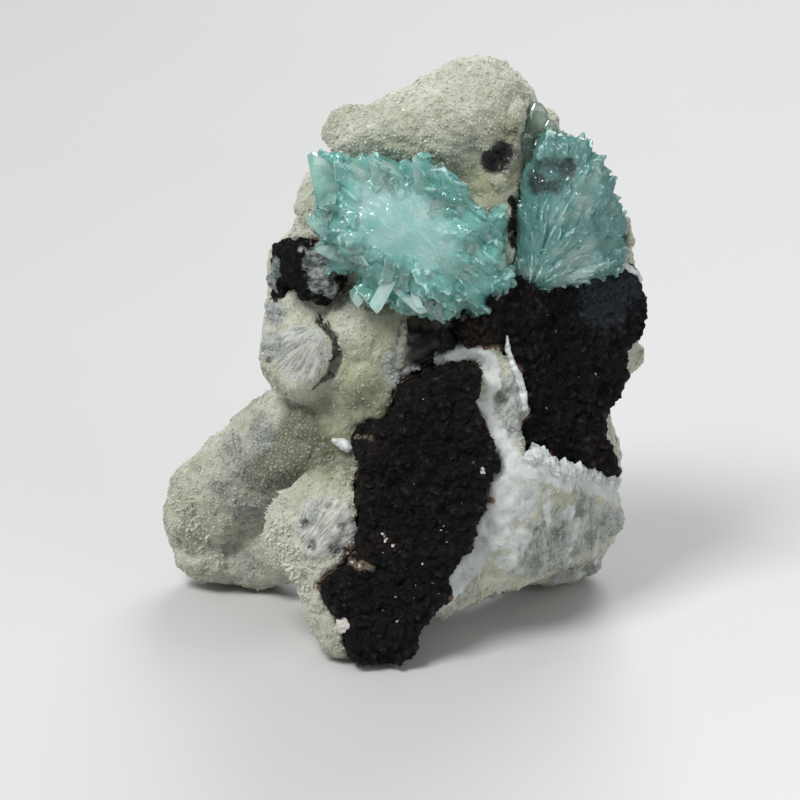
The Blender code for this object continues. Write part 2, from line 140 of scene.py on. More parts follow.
class Plan:
    """A node tree with one way to add a node and its links."""

    def __init__(self, tree):
        self.tree = tree

    def node(self, kind, settings=None, inputs=None):
        made = self.tree.nodes.new(kind)
        for name, value in (settings or {}).items():
            if name == "stops":
                self.set_stops(made.color_ramp, value)
            else:
                setattr(made, name, value)
        for name, value in (inputs or {}).items():
            self.feed(self.find(made.inputs, name), value)
        return made

    def get(self, kind, settings=None, inputs=None, output=0):
        return Socket(self, self.find(self.node(kind, settings, inputs).outputs, output))

    def find(self, sockets, name):
        if isinstance(name, int):
            return sockets[name]
        for socket in sockets:
            if socket.identifier == name:
                return socket
        return sockets[name]

    def feed(self, socket, value):
        if isinstance(value, Socket):
            self.tree.links.new(value.socket, socket)
        elif isinstance(value, tuple) and len(value) == 3 and socket.type == "RGBA":
            socket.default_value = (*value, 1)
        else:
            socket.default_value = value

    def set_stops(self, ramp, stops):
        while len(ramp.elements) < len(stops):
            ramp.elements.new(0.5)
        for element, (place, colour) in zip(ramp.elements, stops):
            element.position = place
            element.color = (*colour, 1)

    def math(self, operation, first, second):
        return self.get("ShaderNodeMath", {"operation": operation}, {0: first, 1: second})

    def vector(self, operation, first, second):
        return self.get("ShaderNodeVectorMath", {"operation": operation}, {0: first, 1: second})

    def scaled(self, vector, size):
        return self.get(
            "ShaderNodeVectorMath", {"operation": "SCALE"}, {0: vector, "Scale": size}
        )

    def mix(self, share, first, second, blend="MIX"):
        return self.get(
            "ShaderNodeMix",
            {"data_type": "RGBA", "blend_type": blend},
            {"Factor_Float": share, "A_Color": first, "B_Color": second},
            "Result_Color",
        )

    def place(self):
        return self.get("ShaderNodeTexCoord", output="Object")

    def clouds(self, where, size, detail=4.0, roughness=0.55, output="Fac"):
        """Soft noise whose blotches are about that size across."""
        inputs = {"Vector": where, "Scale": 1 / size, "Detail": detail, "Roughness": roughness}
        return self.get("ShaderNodeTexNoise", {}, inputs, output)

    def cells(self, where, size, output="Distance", feature="F1"):
        inputs = {"Vector": where, "Scale": 1 / size}
        return self.get("ShaderNodeTexVoronoi", {"feature": feature}, inputs, output)

    def attribute(self, name):
        return self.get("ShaderNodeAttribute", {"attribute_name": name}, {}, "Fac")

    def tilted(self, where, size, amount):
        """The surface's normal, turned a little another way on each grain."""
        grain = self.cells(where, size, "Color")
        turn = self.vector("SUBTRACT", grain, (0.5, 0.5, 0.5))
        normal = self.get("ShaderNodeNewGeometry", output="Normal")
        return self.vector("NORMALIZE", self.vector("ADD", normal, self.scaled(turn, amount)), (0, 0, 0))


def new_material(name):
    made = bpy.data.materials.new(name)
    made.use_nodes = True
    made.node_tree.nodes.clear()
    return made, Plan(made.node_tree)


def finish_material(plan, shader, volume=None):
    output = plan.node("ShaderNodeOutputMaterial", {}, {"Surface": shader})
    if volume:
        plan.feed(output.inputs["Volume"], volume)


# Meshes


def show(name, mesh):
    obj = bpy.data.objects.new(name, mesh)
    bpy.context.scene.collection.objects.link(obj)
    return obj


def from_bmesh(name, bm):
    mesh = bpy.data.meshes.new(name)
    bm.to_mesh(mesh)
    bm.free()
    return show(name, mesh)


def copy_of(node):
    """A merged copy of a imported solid."""
    bm = bmesh.new()
    bm.from_mesh(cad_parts[node].data)
    bmesh.ops.remove_doubles(bm, verts=bm.verts, dist=1e-6)
    return from_bmesh(f"{node}_copy", bm)


def modifier(obj, kind, **settings):
    made = obj.modifiers.new(kind.lower(), kind)
    for name, value in settings.items():
        setattr(made, name, value)
    return made


def bake(obj):
    """Puts the result of the modifiers into the object's own mesh."""
    graph = bpy.context.evaluated_depsgraph_get()
    graph.update()
    mesh = bpy.data.meshes.new_from_object(obj.evaluated_get(graph))
    obj.modifiers.clear()
    obj.data = mesh
    return obj


def drop(obj):
    bpy.data.objects.remove(obj)


def places(obj):
    flat = np.empty(len(obj.data.vertices) * 3)
    obj.data.vertices.foreach_get("co", flat)
    return flat.reshape(-1, 3)


def normals(obj):
    flat = np.empty(len(obj.data.vertices) * 3)
    obj.data.vertex_normals.foreach_get("vector", flat)
    return flat.reshape(-1, 3)


def move_to(obj, where):
    """Puts the vertices there, but never outside the CAD model's box."""
    inside = np.clip(where, np.array(CAD_LOW), np.array(CAD_HIGH))
    obj.data.vertices.foreach_set("co", inside.ravel())
    obj.data.update()


def store(obj, name, values):
    layer = obj.data.attributes.new(name, "FLOAT", "POINT")
    layer.data.foreach_set("value", np.asarray(values, dtype=np.float32))


def fractal(where, size, octaves=3, shift=0.0):
    """Noise from about -1 to 1 with lumps of that size."""
    scale = 1 / size
    move = Vector((shift, shift * 0.7, -shift))
    found = [noise.fractal(Vector(p) * scale + move, 1.0, 2.0, octaves) for p in where]
    return np.array(found)


def grain_heights(where, size):
    """1 in the middle of each grain and 0 between grains."""
    scale = 1 / size
    found = [noise.voronoi(Vector(p) * scale)[0] for p in where]
    return np.array([1 - min(1.0, d[0] / max(d[1], 1e-9)) for d in found])


def sharpness(obj, reach):
    """About 1 on sharp ridges, 0 on flat ground and -1 in creases."""
    where, out = places(obj), normals(obj)
    ends = np.empty(len(obj.data.edges) * 2, dtype=np.int64)
    obj.data.edges.foreach_get("vertices", ends)
    first, second = ends.reshape(-1, 2).T
    total, count = np.zeros_like(where), np.zeros(len(where))
    for near, far in ((first, second), (second, first)):
        np.add.at(total, near, where[far])
        np.add.at(count, near, 1)
    drop_in = ((where - total / np.maximum(count, 1)[:, None]) * out).sum(axis=1)
    for _ in range(2):
        spread = np.zeros(len(where))
        for near, far in ((first, second), (second, first)):
            np.add.at(spread, near, drop_in[far])
        drop_in = (drop_in + spread / np.maximum(count, 1)) / 2
    return np.clip(drop_in / reach, -1, 1)


def sculpt(obj, voxel, smooth):
    modifier(obj, "REMESH", mode="VOXEL", voxel_size=voxel)
    modifier(obj, "SMOOTH", factor=0.5, iterations=smooth)
    return bake(obj)


def shade_smooth(obj):
    obj.data.polygons.foreach_set("use_smooth", [True] * len(obj.data.polygons))


def surface_of(*objects):
    """A search tree of what the eye can meet."""
    bm = bmesh.new()
    for obj in objects:
        bm.from_mesh(obj.data)
    tree = BVHTree.FromBMesh(bm)
    bm.free()
    return tree


def seen(surface, u, v):
    """Where a line of sight meets the surface, and its normal there."""
    place, normal, _, _ = surface.ray_cast(EYE, line_of_sight(u, v))
    return place, normal


def nearness(where, surface, reach):
    """1 on the surface and 0 further away than reach."""
    found = []
    for p in where:
        hit = surface.find_nearest(Vector(p), reach)
        found.append(0.0 if hit[0] is None else 1 - hit[3] / reach)
    return np.array(found)


def zone(where, surface, spots):
    """How strongly each point lies in the zone that the spots (u, v, radius, strength) mark."""
    total = np.zeros(len(where))
    for u, v, radius, strength in spots:
        place, _ = seen(surface, u, v)
        if place is None:
            continue
        distance = np.linalg.norm(where - np.array(place), axis=1) / (radius * PIXEL)
        total = np.maximum(total, strength * np.clip(1.5 - distance, 0, 1))
    return total


def along(points, step=6.0):
    """Spots close together along a line of spots."""
    found = []
    for a, b in zip(points, points[1:]):
        count = max(1, math.ceil(math.hypot(b[0] - a[0], b[1] - a[1]) / step))
        for index in range(count):
            share = index / count
            found.append(tuple(x + (y - x) * share for x, y in zip(a, b)))
    return [*found, points[-1]]


# Shapes that repeat


def interface(tree, sockets):
    for name, kind, direction in sockets:
        tree.interface.new_socket(name, in_out=direction, socket_type=f"NodeSocket{kind}")


def crust_tree():
    """Copies of a grain all over a surface, leaning out of it."""
    tree = bpy.data.node_groups.new("crust", "GeometryNodeTree")
    interface(
        tree,
        [
            ("Surface", "Geometry", "INPUT"),
            ("Grain", "Object", "INPUT"),
            ("Finish", "Material", "INPUT"),
            ("Spacing", "Float", "INPUT"),
            ("Smallest", "Vector", "INPUT"),
            ("Largest", "Vector", "INPUT"),
            ("Lean", "Vector", "INPUT"),
            ("Scatter", "Float", "INPUT"),
            ("Depth", "Float", "INPUT"),
            ("Seed", "Int", "INPUT"),
            ("Crust", "Geometry", "OUTPUT"),
        ],
    )
    plan = Plan(tree)
    start = plan.node("NodeGroupInput")

    def given(name):
        return Socket(plan, start.outputs[name])

    def chance(kind, low, high, offset):
        seed = given("Seed") + offset
        return plan.get(
            "FunctionNodeRandomValue",
            {"data_type": kind},
            {f"Min{'' if kind == 'FLOAT_VECTOR' else '_001'}": low,
             f"Max{'' if kind == 'FLOAT_VECTOR' else '_001'}": high, "Seed": seed},
            "Value" if kind == "FLOAT_VECTOR" else "Value_001",
        )

    grow = plan.get("GeometryNodeInputNamedAttribute", {"data_type": "FLOAT"}, {"Name": "grow"})
    scattered = plan.node(
        "GeometryNodeDistributePointsOnFaces",
        {"distribute_method": "POISSON"},
        {
            "Mesh": given("Surface"),
            "Distance Min": given("Spacing"),
            "Density Max": 3e7,
            "Density Factor": grow,
            "Seed": given("Seed"),
        },
    )
    points = Socket(plan, scattered.outputs["Points"])
    normal = Socket(plan, scattered.outputs["Normal"])
    stray = plan.scaled(chance("FLOAT_VECTOR", (-1, -1, -1), (1, 1, 1), 1), given("Scatter"))
    axis = plan.vector("ADD", plan.vector("ADD", normal, given("Lean")), stray)
    axis = plan.vector("NORMALIZE", axis, (0, 0, 0))
    upright = plan.get(
        "FunctionNodeAlignRotationToVector", {"axis": "Z"}, {"Vector": axis}, "Rotation"
    )
    spin = plan.get("ShaderNodeCombineXYZ", {}, {"Z": chance("FLOAT", 0.0, math.tau, 2)})
    spin = plan.get("FunctionNodeEulerToRotation", {}, {0: spin})
    turned = plan.get(
        "FunctionNodeRotateRotation",
        {"rotation_space": "LOCAL"},
        {"Rotation": upright, "Rotate By": spin},
    )
    size = chance("FLOAT_VECTOR", given("Smallest"), given("Largest"), 3)
    sunk = plan.get(
        "GeometryNodeSetPosition",
        {},
        {"Geometry": points, "Offset": plan.scaled(axis, 0 - given("Depth"))},
    )
    grain = plan.get(
        "GeometryNodeObjectInfo", {}, {"Object": given("Grain")}, "Geometry"
    )
    copies = plan.get(
        "GeometryNodeInstanceOnPoints",
        {},
        {"Points": sunk, "Instance": grain, "Rotation": turned, "Scale": size},
    )
    whole = plan.get("GeometryNodeRealizeInstances", {}, {"Geometry": copies})
    painted = plan.get(
        "GeometryNodeSetMaterial", {}, {"Geometry": whole, "Material": given("Finish")}
    )
    plan.node("NodeGroupOutput", {}, {"Crust": painted})
    return tree


def placed_tree():
    """A copy of a crystal on each point, along the point's own axis and of its own size."""
    tree = bpy.data.node_groups.new("placed_crystals", "GeometryNodeTree")
    interface(
        tree,
        [
            ("Points", "Geometry", "INPUT"),
            ("Crystal", "Object", "INPUT"),
            ("Finish", "Material", "INPUT"),
            ("Crystals", "Geometry", "OUTPUT"),
        ],
    )
    plan = Plan(tree)
    start = plan.node("NodeGroupInput")

    def given(name):
        return Socket(plan, start.outputs[name])

    def stored(name):
        settings = {"data_type": "FLOAT_VECTOR"}
        return plan.get("GeometryNodeInputNamedAttribute", settings, {"Name": name})

    upright = plan.get(
        "FunctionNodeAlignRotationToVector", {"axis": "Z"}, {"Vector": stored("axis")}, "Rotation"
    )
    turned = plan.get(
        "FunctionNodeAlignRotationToVector",
        {"axis": "X", "pivot_axis": "Z"},
        {"Rotation": upright, "Vector": stored("side")},
        "Rotation",
    )
    crystal = plan.get("GeometryNodeObjectInfo", {}, {"Object": given("Crystal")}, "Geometry")
    copies = plan.get(
        "GeometryNodeInstanceOnPoints",
        {},
        {
            "Points": given("Points"),
            "Instance": crystal,
            "Rotation": turned,
            "Scale": stored("size"),
        },
    )
    whole = plan.get("GeometryNodeRealizeInstances", {}, {"Geometry": copies})
    painted = plan.get(
        "GeometryNodeSetMaterial", {}, {"Geometry": whole, "Material": given("Finish")}
    )
    plan.node("NodeGroupOutput", {}, {"Crystals": painted})
    return tree


def grown(name, surface, tree, **inputs):
    """The plain mesh that a tree makes of a surface or of points."""
    obj = show(name, surface.data.copy())
    made = obj.modifiers.new("grow", "NODES")
    made.node_group = tree
    wanted = {key.replace("_", " ").capitalize(): value for key, value in inputs.items()}
    for item in tree.interface.items_tree:
        if item.in_out == "INPUT" and item.name in wanted:
            made[item.identifier] = wanted[item.name]
    return bake(obj)


def rings(name, levels, corner):
    """A closed crystal of one unit: rings (height, width, thickness, slope) of a square with
    cut corners. Slope lowers the ring's +X side."""
    bm = bmesh.new()
    made = []
    a, b = 0.5, 0.5 - corner
    outline = [(a, -b), (a, b), (b, a), (-b, a), (-a, b), (-a, -b), (-b, -a), (b, -a)]
    for height, width, thickness, slope in levels:
        ring = [
            bm.verts.new((x * width, y * thickness, height - slope * (x * width + 0.5)))
            for x, y in outline
        ]
        made.append(ring)
    for low, high in zip(made, made[1:]):
        for index in range(8):
            after = (index + 1) % 8
            bm.faces.new((low[index], low[after], high[after], high[index]))
    bm.faces.new(list(reversed(made[0])))
    bm.faces.new(made[-1])
    bmesh.ops.recalc_face_normals(bm, faces=bm.faces)
    obj = from_bmesh(name, bm)
    return obj


def small_grain(name):
    """A pointed grain: a leaning pyramid with its foot below the surface."""
    bm = bmesh.new()
    foot = [bm.verts.new((x, y, -0.5)) for x, y in ((-0.5, -0.4), (0.5, -0.5), (0.4, 0.5), (-0.5, 0.4))]
    tip = bm.verts.new((0.12, 0.06, 1.0))
    for index in range(4):
        bm.faces.new((foot[index], foot[(index + 1) % 4], tip))
    bm.faces.new(list(reversed(foot)))
    bmesh.ops.recalc_face_normals(bm, faces=bm.faces)
    return from_bmesh(name, bm)


def points_with(name, rows):
    """A mesh of points with an axis, a side and a size each."""
    mesh = bpy.data.meshes.new(name)
    mesh.from_pydata([row["foot"] for row in rows], [], [])
    for key in ("axis", "side", "size"):
        layer = mesh.attributes.new(key, "FLOAT_VECTOR", "POINT")
        layer.data.foreach_set("vector", np.array([row[key] for row in rows]).ravel())
    pale = mesh.attributes.new("pale", "FLOAT", "POINT")
    pale.data.foreach_set("value", [row.get("pale", 0.5) for row in rows])
    return show(name, mesh)


def crystal_row(root, tip, side, width, thickness):
    root, tip = at(*root), at(*tip)
    return {
        "foot": root,
        "axis": (tip - root).normalized(),
        "side": Vector(side).normalized(),
        "size": Vector((width * MM, thickness * MM, (tip - root).length)),
    }


# Finishes


def streaks(plan, size, stretch=0.12):
    """Fine lines along the fibres of a fibrous face."""
    line = plan.get(
        "ShaderNodeCombineXYZ",
        {},
        {"X": plan.attribute("across"), "Y": plan.attribute("along") * stretch},
    )
    return plan.clouds(line, size, 3.0, 0.6)


def zeolite_finish(name, painted_lightening, glint):
    """Frosted zeolite: cream, white, yellow-green and grey by zone, with small glints, painted shade in its creases
    and over an olive zone, and painted light that whitens the grains.
    """
    made, plan = new_material(name)
    where = plan.place()
    broad = plan.clouds(where, 9 * MM)
    fine = plan.clouds(where, 1.6 * MM, 5.0)
    crumbs = plan.clouds(where, 0.45 * MM, 3.0)
    drift = (fine - 0.5) * 0.6

    base = plan.get(
        "ShaderNodeValToRGB",
        {"stops": [(0.32, (0.255, 0.265, 0.175)), (0.5, (0.385, 0.395, 0.297)), (0.7, (0.53, 0.54, 0.44))]},
        {"Fac": broad * 0.5 + fine * 0.5},
    )
    yellow = (plan.attribute("yellow") + drift).above(0.1, 1.0)
    colour = plan.mix(yellow * 0.85, base, (0.27, 0.275, 0.155))
    # Painted shade over an olive tone: this zone is darkened to a deep olive where the fingers lie in shadow
    shade = (plan.attribute("shade") + drift).above(0.1, 1.0)
    colour = plan.mix(shade * 0.90, colour, (0.072, 0.075, 0.030))
    silk = plan.attribute("silk").above(0.15, 0.55)
    fibre = streaks(plan, 0.32)
    silky = plan.mix(fibre.above(0.30, 0.62), (0.17, 0.18, 0.165), (0.44, 0.455, 0.40))
    colour = plan.mix(silk, colour, silky)
    grey = (plan.attribute("grey") + drift * 1.4).above(0.10, 0.70)
    columns = streaks(plan, 1.1, 0.35)
    veil = (crumbs * 0.3 + columns * 0.7).above(0.38, 0.60)
    clear_grey = plan.mix(veil, (0.09, 0.105, 0.10), (0.33, 0.355, 0.34))
    colour = plan.mix(grey * 0.85, colour, clear_grey)
    worm_noise = plan.clouds(where, 1.3 * MM, 1.0) - 0.5
    worms = plan.get("ShaderNodeMath", {"operation": "ABSOLUTE"}, {0: worm_noise})
    wormy = plan.attribute("wormy").above(0.1, 0.9)
    shaded = wormy * (drift + 0.35) + wormy * (1 - worms.above(0.01, 0.05)) * 0.5
    colour = plan.mix(shaded, colour, (0.08, 0.095, 0.095))
    white = (plan.attribute("white") + drift * 0.7).above(0.3, 0.7)
    porcelain = plan.mix(fine.above(0.3, 0.6), (0.40, 0.425, 0.41), (0.515, 0.54, 0.52))
    colour = plan.mix(white, colour, porcelain)
    slots = (plan.attribute("slots") + (fibre - 0.5) * 2.4).above(0.55, 0.85)
    colour = plan.mix(slots, colour, (0.03, 0.035, 0.04))
    # Near black: black crystals and needles, and painted shadow in the hollow under the spray
    dark = (plan.attribute("dark") + (crumbs - 0.5) * 0.8 + (fine - 0.5) * 0.8).above(0.25, 0.75)
    colour = plan.mix(dark, colour, (0.008, 0.008, 0.009))
    rust = (plan.attribute("rust") + drift).above(0.35, 0.7)
    colour = plan.mix(rust, colour, (0.10, 0.035, 0.016))
    # Painted shade: the creases are darkened toward a dull olive-grey
    colour = plan.mix((0 - plan.attribute("sharp")).above(0.1, 0.9) * 0.5, colour, (0.20, 0.205, 0.15))
    # A pale frosty tone that varies at random, plus painted light: the grains' copy is whitened to make up for the
    # shade on their facets
    frost_and_painted_light = (crumbs - 0.35) * 0.30 + painted_lightening
    colour = plan.mix(frost_and_painted_light * (1 - dark), colour, (0.70, 0.71, 0.66))

    spark = plan.cells(where, 0.45 * MM, "Color").above(0.66, 0.74)
    rough = 0.58 - spark * glint + fine * 0.15
    bump = plan.get(
        "ShaderNodeBump",
        {},
        {
            "Strength": 0.38,
            "Distance": 0.20 * MM,
            # The grains' copy is whitened: painted light against the shade on their facets
            "Height": crumbs + fine * 0.6,
            "Normal": plan.tilted(where, 0.40 * MM, 0.28),
        },
    )
    shader = plan.get(
        "ShaderNodeBsdfPrincipled",
        {},
        {
            "Base Color": colour,
            "Roughness": rough,
            "Normal": bump,
            "IOR": 1.5,
            "Subsurface Weight": 0.5,
            "Subsurface Radius": (1.0, 1.0, 0.8),
            "Subsurface Scale": 1.0 * MM,
            "Specular IOR Level": 0.55,
        },
    )
    finish_material(plan, shader)
    return made


def basalt_finish(name, brown, grey):
    """Broken basalt: black, with tiny glints, worn tan edges and a painted blue-grey sheen."""
    made, plan = new_material(name)
    where = plan.place()
    fine = plan.clouds(where, 0.8 * MM, 6.0, 0.7)
    broad = plan.clouds(where, 5 * MM)
    flow = plan.clouds(plan.vector("MULTIPLY", where, (0.25, 0.6, 1.0)), 0.9 * MM, 4.0)
    base = plan.get(
        "ShaderNodeValToRGB",
        {"stops": [(0.42, (0.0016, 0.0016, 0.0019)), (0.60, (0.005, 0.005, 0.0055)), (0.80, (0.022, 0.022, 0.024))]},
        {"Fac": fine * 0.7 + flow * 0.3},
    )
    browned = (broad.above(0.5, 0.7) * 0.5 + plan.attribute("brown")) * brown
    colour = plan.mix(browned * fine.above(0.4, 0.7), base, (0.060, 0.030, 0.020))
    # Painted reflection: a blue-grey sheen is painted into the colour where the rock is also made glossier
    sheen = (plan.attribute("sheen") + (fine - 0.5) * 1.2).above(0.35, 0.9)
    colour = plan.mix(sheen * 0.7, colour, (0.030, 0.038, 0.046))
    pale = (plan.attribute("pale") + (fine - 0.5) * 1.6 + (broad - 0.5)).above(0.45, 0.8)
    colour = plan.mix(pale * grey, colour, plan.mix(flow.above(0.35, 0.62), (0.07, 0.085, 0.08), (0.28, 0.31, 0.29)))
    worn = plan.attribute("sharp").above(0.25, 1.0)
    colour = plan.mix(worn * fine.above(0.45, 0.65) * 0.6, colour, (0.050, 0.042, 0.037))
    rim = (plan.attribute("rim") + (fine - 0.5) * 1.4 + (broad - 0.5) * 1.4).above(0.60, 1.0)
    colour = plan.mix(rim * 0.8, colour, (0.16, 0.095, 0.065))
    tan = (plan.attribute("tan") + (fine - 0.5) * 1.2).above(0.45, 0.9)
    colour = plan.mix(tan * 0.8, colour, (0.20, 0.155, 0.115))
    spark = plan.cells(where, 0.24 * MM, "Color").above(0.955, 0.965)
    colour = plan.mix(spark, colour, (0.22, 0.24, 0.27))
    rough = 0.70 - spark * 0.45 - sheen * 0.34 - pale * grey * 0.35
    bump = plan.get(
        "ShaderNodeBump",
        {},
        {
            "Strength": 0.9,
            "Distance": 0.30 * MM,
            "Height": fine * 1.2 + flow * 0.8,
            "Normal": plan.tilted(where, 0.28 * MM, 0.9),
        },
    )
    shader = plan.get(
        "ShaderNodeBsdfPrincipled",
        {},
        {
            "Base Color": colour,
            "Roughness": rough,
            "Metallic": spark * 0.9,
            "Normal": bump,
            "IOR": 1.5,
            "Specular IOR Level": 0.12,
        },
    )
    finish_material(plan, shader)
    return made


def crystal_finish(name, colour, deep, density, roughness, clearness):
    """Apophyllite: see-through, tinted by its depth, with faint growth lines and veils."""
    made, plan = new_material(name)
    where = plan.place()
    fine = plan.clouds(plan.vector("MULTIPLY", where, (1.0, 1.0, 0.35)), 0.7 * MM, 4.0)
    veils = plan.clouds(where, 2.2 * MM, 3.0)
    tint = plan.mix(veils.above(0.40, 0.65) * 0.6, colour, (0.88, 0.97, 0.95))
    bump = plan.get(
        "ShaderNodeBump", {}, {"Strength": 0.20, "Distance": 0.12 * MM, "Height": fine}
    )
    shader = plan.get(
        "ShaderNodeBsdfPrincipled",
        {},
        {
            "Base Color": tint,
            "Roughness": roughness + fine * 0.10,
            "Normal": bump,
            "IOR": 1.537,
            "Transmission Weight": clearness,
        },
    )
    volume = plan.get("ShaderNodeVolumeAbsorption", {}, {"Color": deep, "Density": density})
    finish_material(plan, shader, volume)
    return made


def shell_finish(name, colour, deep, density, clearness):
    """The clear outside of a spray: see-through, tinted by depth, with painted highlights as pale frosting along its
    edges.
    """
    made, plan = new_material(name)
    where = plan.place()
    fine = plan.clouds(where, 0.8 * MM, 5.0)
    veils = plan.clouds(where, 2.4 * MM, 4.0)
    line = streaks(plan, 0.45, 0.10)
    pale = plan.attribute("pale")
    sharp = plan.attribute("sharp")
    tint = plan.mix((veils + (pale - 0.3) * 0.35).above(0.42, 0.85) * 0.7, colour, (0.90, 0.97, 0.96))
    # Painted shade: the creases are tinted toward the deeper colour
    tint = plan.mix((0 - sharp).above(0.2, 1.0) * 0.6, tint, deep)
    wisps = plan.clouds(where, 0.5 * MM, 4.0, 0.7)
    dark = (plan.attribute("dark") + (wisps - 0.5) * 1.6).above(0.30, 1.0)
    tint = plan.mix(dark * 0.85, tint, (0.06, 0.09, 0.10))
    bump = plan.get(
        "ShaderNodeBump",
        {},
        {
            "Strength": 0.30,
            "Distance": 0.2 * MM,
            "Height": fine + line * 0.7,
            "Normal": plan.tilted(where, 1.0 * MM, 0.12),
        },
    )
    glassy = plan.get(
        "ShaderNodeBsdfPrincipled",
        {},
        {
            "Base Color": tint,
            "Roughness": 0.04 + fine * 0.12,
            "Normal": bump,
            "IOR": 1.537,
            "Transmission Weight": clearness,
        },
    )
    frosted = plan.get(
        "ShaderNodeBsdfPrincipled",
        {},
        {
            "Base Color": plan.mix(fine.above(0.35, 0.65), (0.42, 0.70, 0.64), (0.66, 0.84, 0.80)),
            "Roughness": 0.25 + fine * 0.2,
            "Normal": bump,
            "IOR": 1.537,
        },
    )
    # Painted highlight: the sharp edges get the pale frosted shader, standing in for glints along them
    edges = sharp.above(0.30, 1.2) * 0.45
    lines = line.above(0.56, 0.70) * (pale.above(0.1, 0.8) * 0.35 + 0.06)
    frost_and_painted_light = (edges + lines) * (1 - dark)
    surface = plan.get("ShaderNodeMixShader", {}, {"Fac": frost_and_painted_light, 1: glassy, 2: frosted})
    volume = plan.get("ShaderNodeVolumeAbsorption", {}, {"Color": deep, "Density": density})
    finish_material(plan, surface, volume)
    return made


def milky_finish(name, pale, deep, lines, facets):
    """The cloudy body of a spray, with pale lines that run out from its root."""
    made, plan = new_material(name)
    where = plan.place()
    broad = plan.clouds(where, 4 * MM, 4.0)
    fine = plan.clouds(where, 0.9 * MM, 5.0)
    line = streaks(plan, 0.45, 0.10)
    share = broad * 0.5 + fine * 0.5 + (plan.attribute("pale") - 0.3) * 0.5
    colour = plan.mix(share.above(0.32, 0.80), deep, pale)
    colour = plan.mix(line.above(0.54, 0.74) * lines, colour, (0.60, 0.78, 0.75))
    rim = plan.get("ShaderNodeLayerWeight", {}, {"Blend": 0.30}, "Facing")
    colour = plan.mix(rim * 0.6, colour, deep)
    sharp = plan.attribute("sharp")
    # Painted shade: the creases are darkened toward the deep colour
    colour = plan.mix((0 - sharp).above(0.15, 0.9) * 0.6, colour, deep)
    # Painted highlight: the sharp edges are lightened to a pale white-teal, standing in for glints
    colour = plan.mix(sharp.above(0.35, 1.0) * 0.55, colour, (0.80, 0.90, 0.88))
    wisps = plan.clouds(where, 0.5 * MM, 4.0, 0.7)
    dark = (plan.attribute("dark") + (wisps - 0.5) * 1.6).above(0.30, 1.0)
    colour = plan.mix(dark * 0.95, colour, (0.010, 0.014, 0.018))
    bump = plan.get(
        "ShaderNodeBump",
        {},
        {
            "Strength": 0.35,
            "Distance": 0.25 * MM,
            "Height": fine + line * 0.8,
            "Normal": plan.tilted(where, 1.0 * MM, facets),
        },
    )
    shader = plan.get(
        "ShaderNodeBsdfPrincipled",
        {},
        {
            "Base Color": colour,
            "Roughness": 0.12 + fine * 0.25,
            "Normal": bump,
            "IOR": 1.52,
            "Coat Weight": 0.5,
            "Coat Roughness": 0.08,
            "Subsurface Weight": 0.5,
            "Subsurface Radius": (0.7, 1.0, 0.95),
            "Subsurface Scale": 2.0 * MM,
        },
    )
    finish_material(plan, shader)
    return made


def plain_finish(name, light, dark, roughness, size=1.0 * MM, metal=0.0):
    """A stony finish of two tones."""
    made, plan = new_material(name)
    where = plan.place()
    fine = plan.clouds(where, size, 4.0)
    colour = plan.mix(fine.above(0.35, 0.65), dark, light)
    bump = plan.get(
        "ShaderNodeBump",
        {},
        {
            "Strength": 0.4,
            "Distance": 0.2 * MM,
            "Height": fine,
            "Normal": plan.tilted(where, 0.35 * MM, 0.3),
        },
    )
    shader = plan.get(
        "ShaderNodeBsdfPrincipled",
        {},
        {
            "Base Color": colour,
            "Roughness": roughness + fine * 0.2,
            "Metallic": metal,
            "Normal": bump,
        },
    )
    finish_material(plan, shader)
    return made


# Where each tone lies: (u, v, radius, strength), in pixels

VEIN = along(
    [
        (452, 354, 7, 1),
        (474, 350, 8, 1),
        (490, 362, 8, 1),
        (494, 388, 7, 1),
        (486, 408, 8, 1),
        (494, 432, 11, 1),
        (503, 460, 16, 1),
        (502, 492, 20, 1),
        (490, 524, 20, 1),
        (472, 556, 16, 1),
        (452, 588, 11, 1),
        (436, 612, 7, 1),
        (420, 640, 5, 1),
    ]
)
WHITE_LOBE = along(
    [(528, 466, 13, 1), (545, 470, 12, 1), (572, 480, 13, 1), (598, 484, 13, 1), (614, 496, 10, 1)]
)
STREAK_FACE = [
    (546, 530, 24, 1.4),
    (566, 548, 26, 1.4),
    (598, 530, 24, 1.3),
    (540, 556, 22, 1.3),
    (580, 512, 18, 1.2),
    (520, 560, 16, 1),
    (614, 522, 14, 1.2),
    (614, 546, 12, 1.1),
    (592, 564, 14, 1.1),
    (562, 572, 14, 1.0),
]
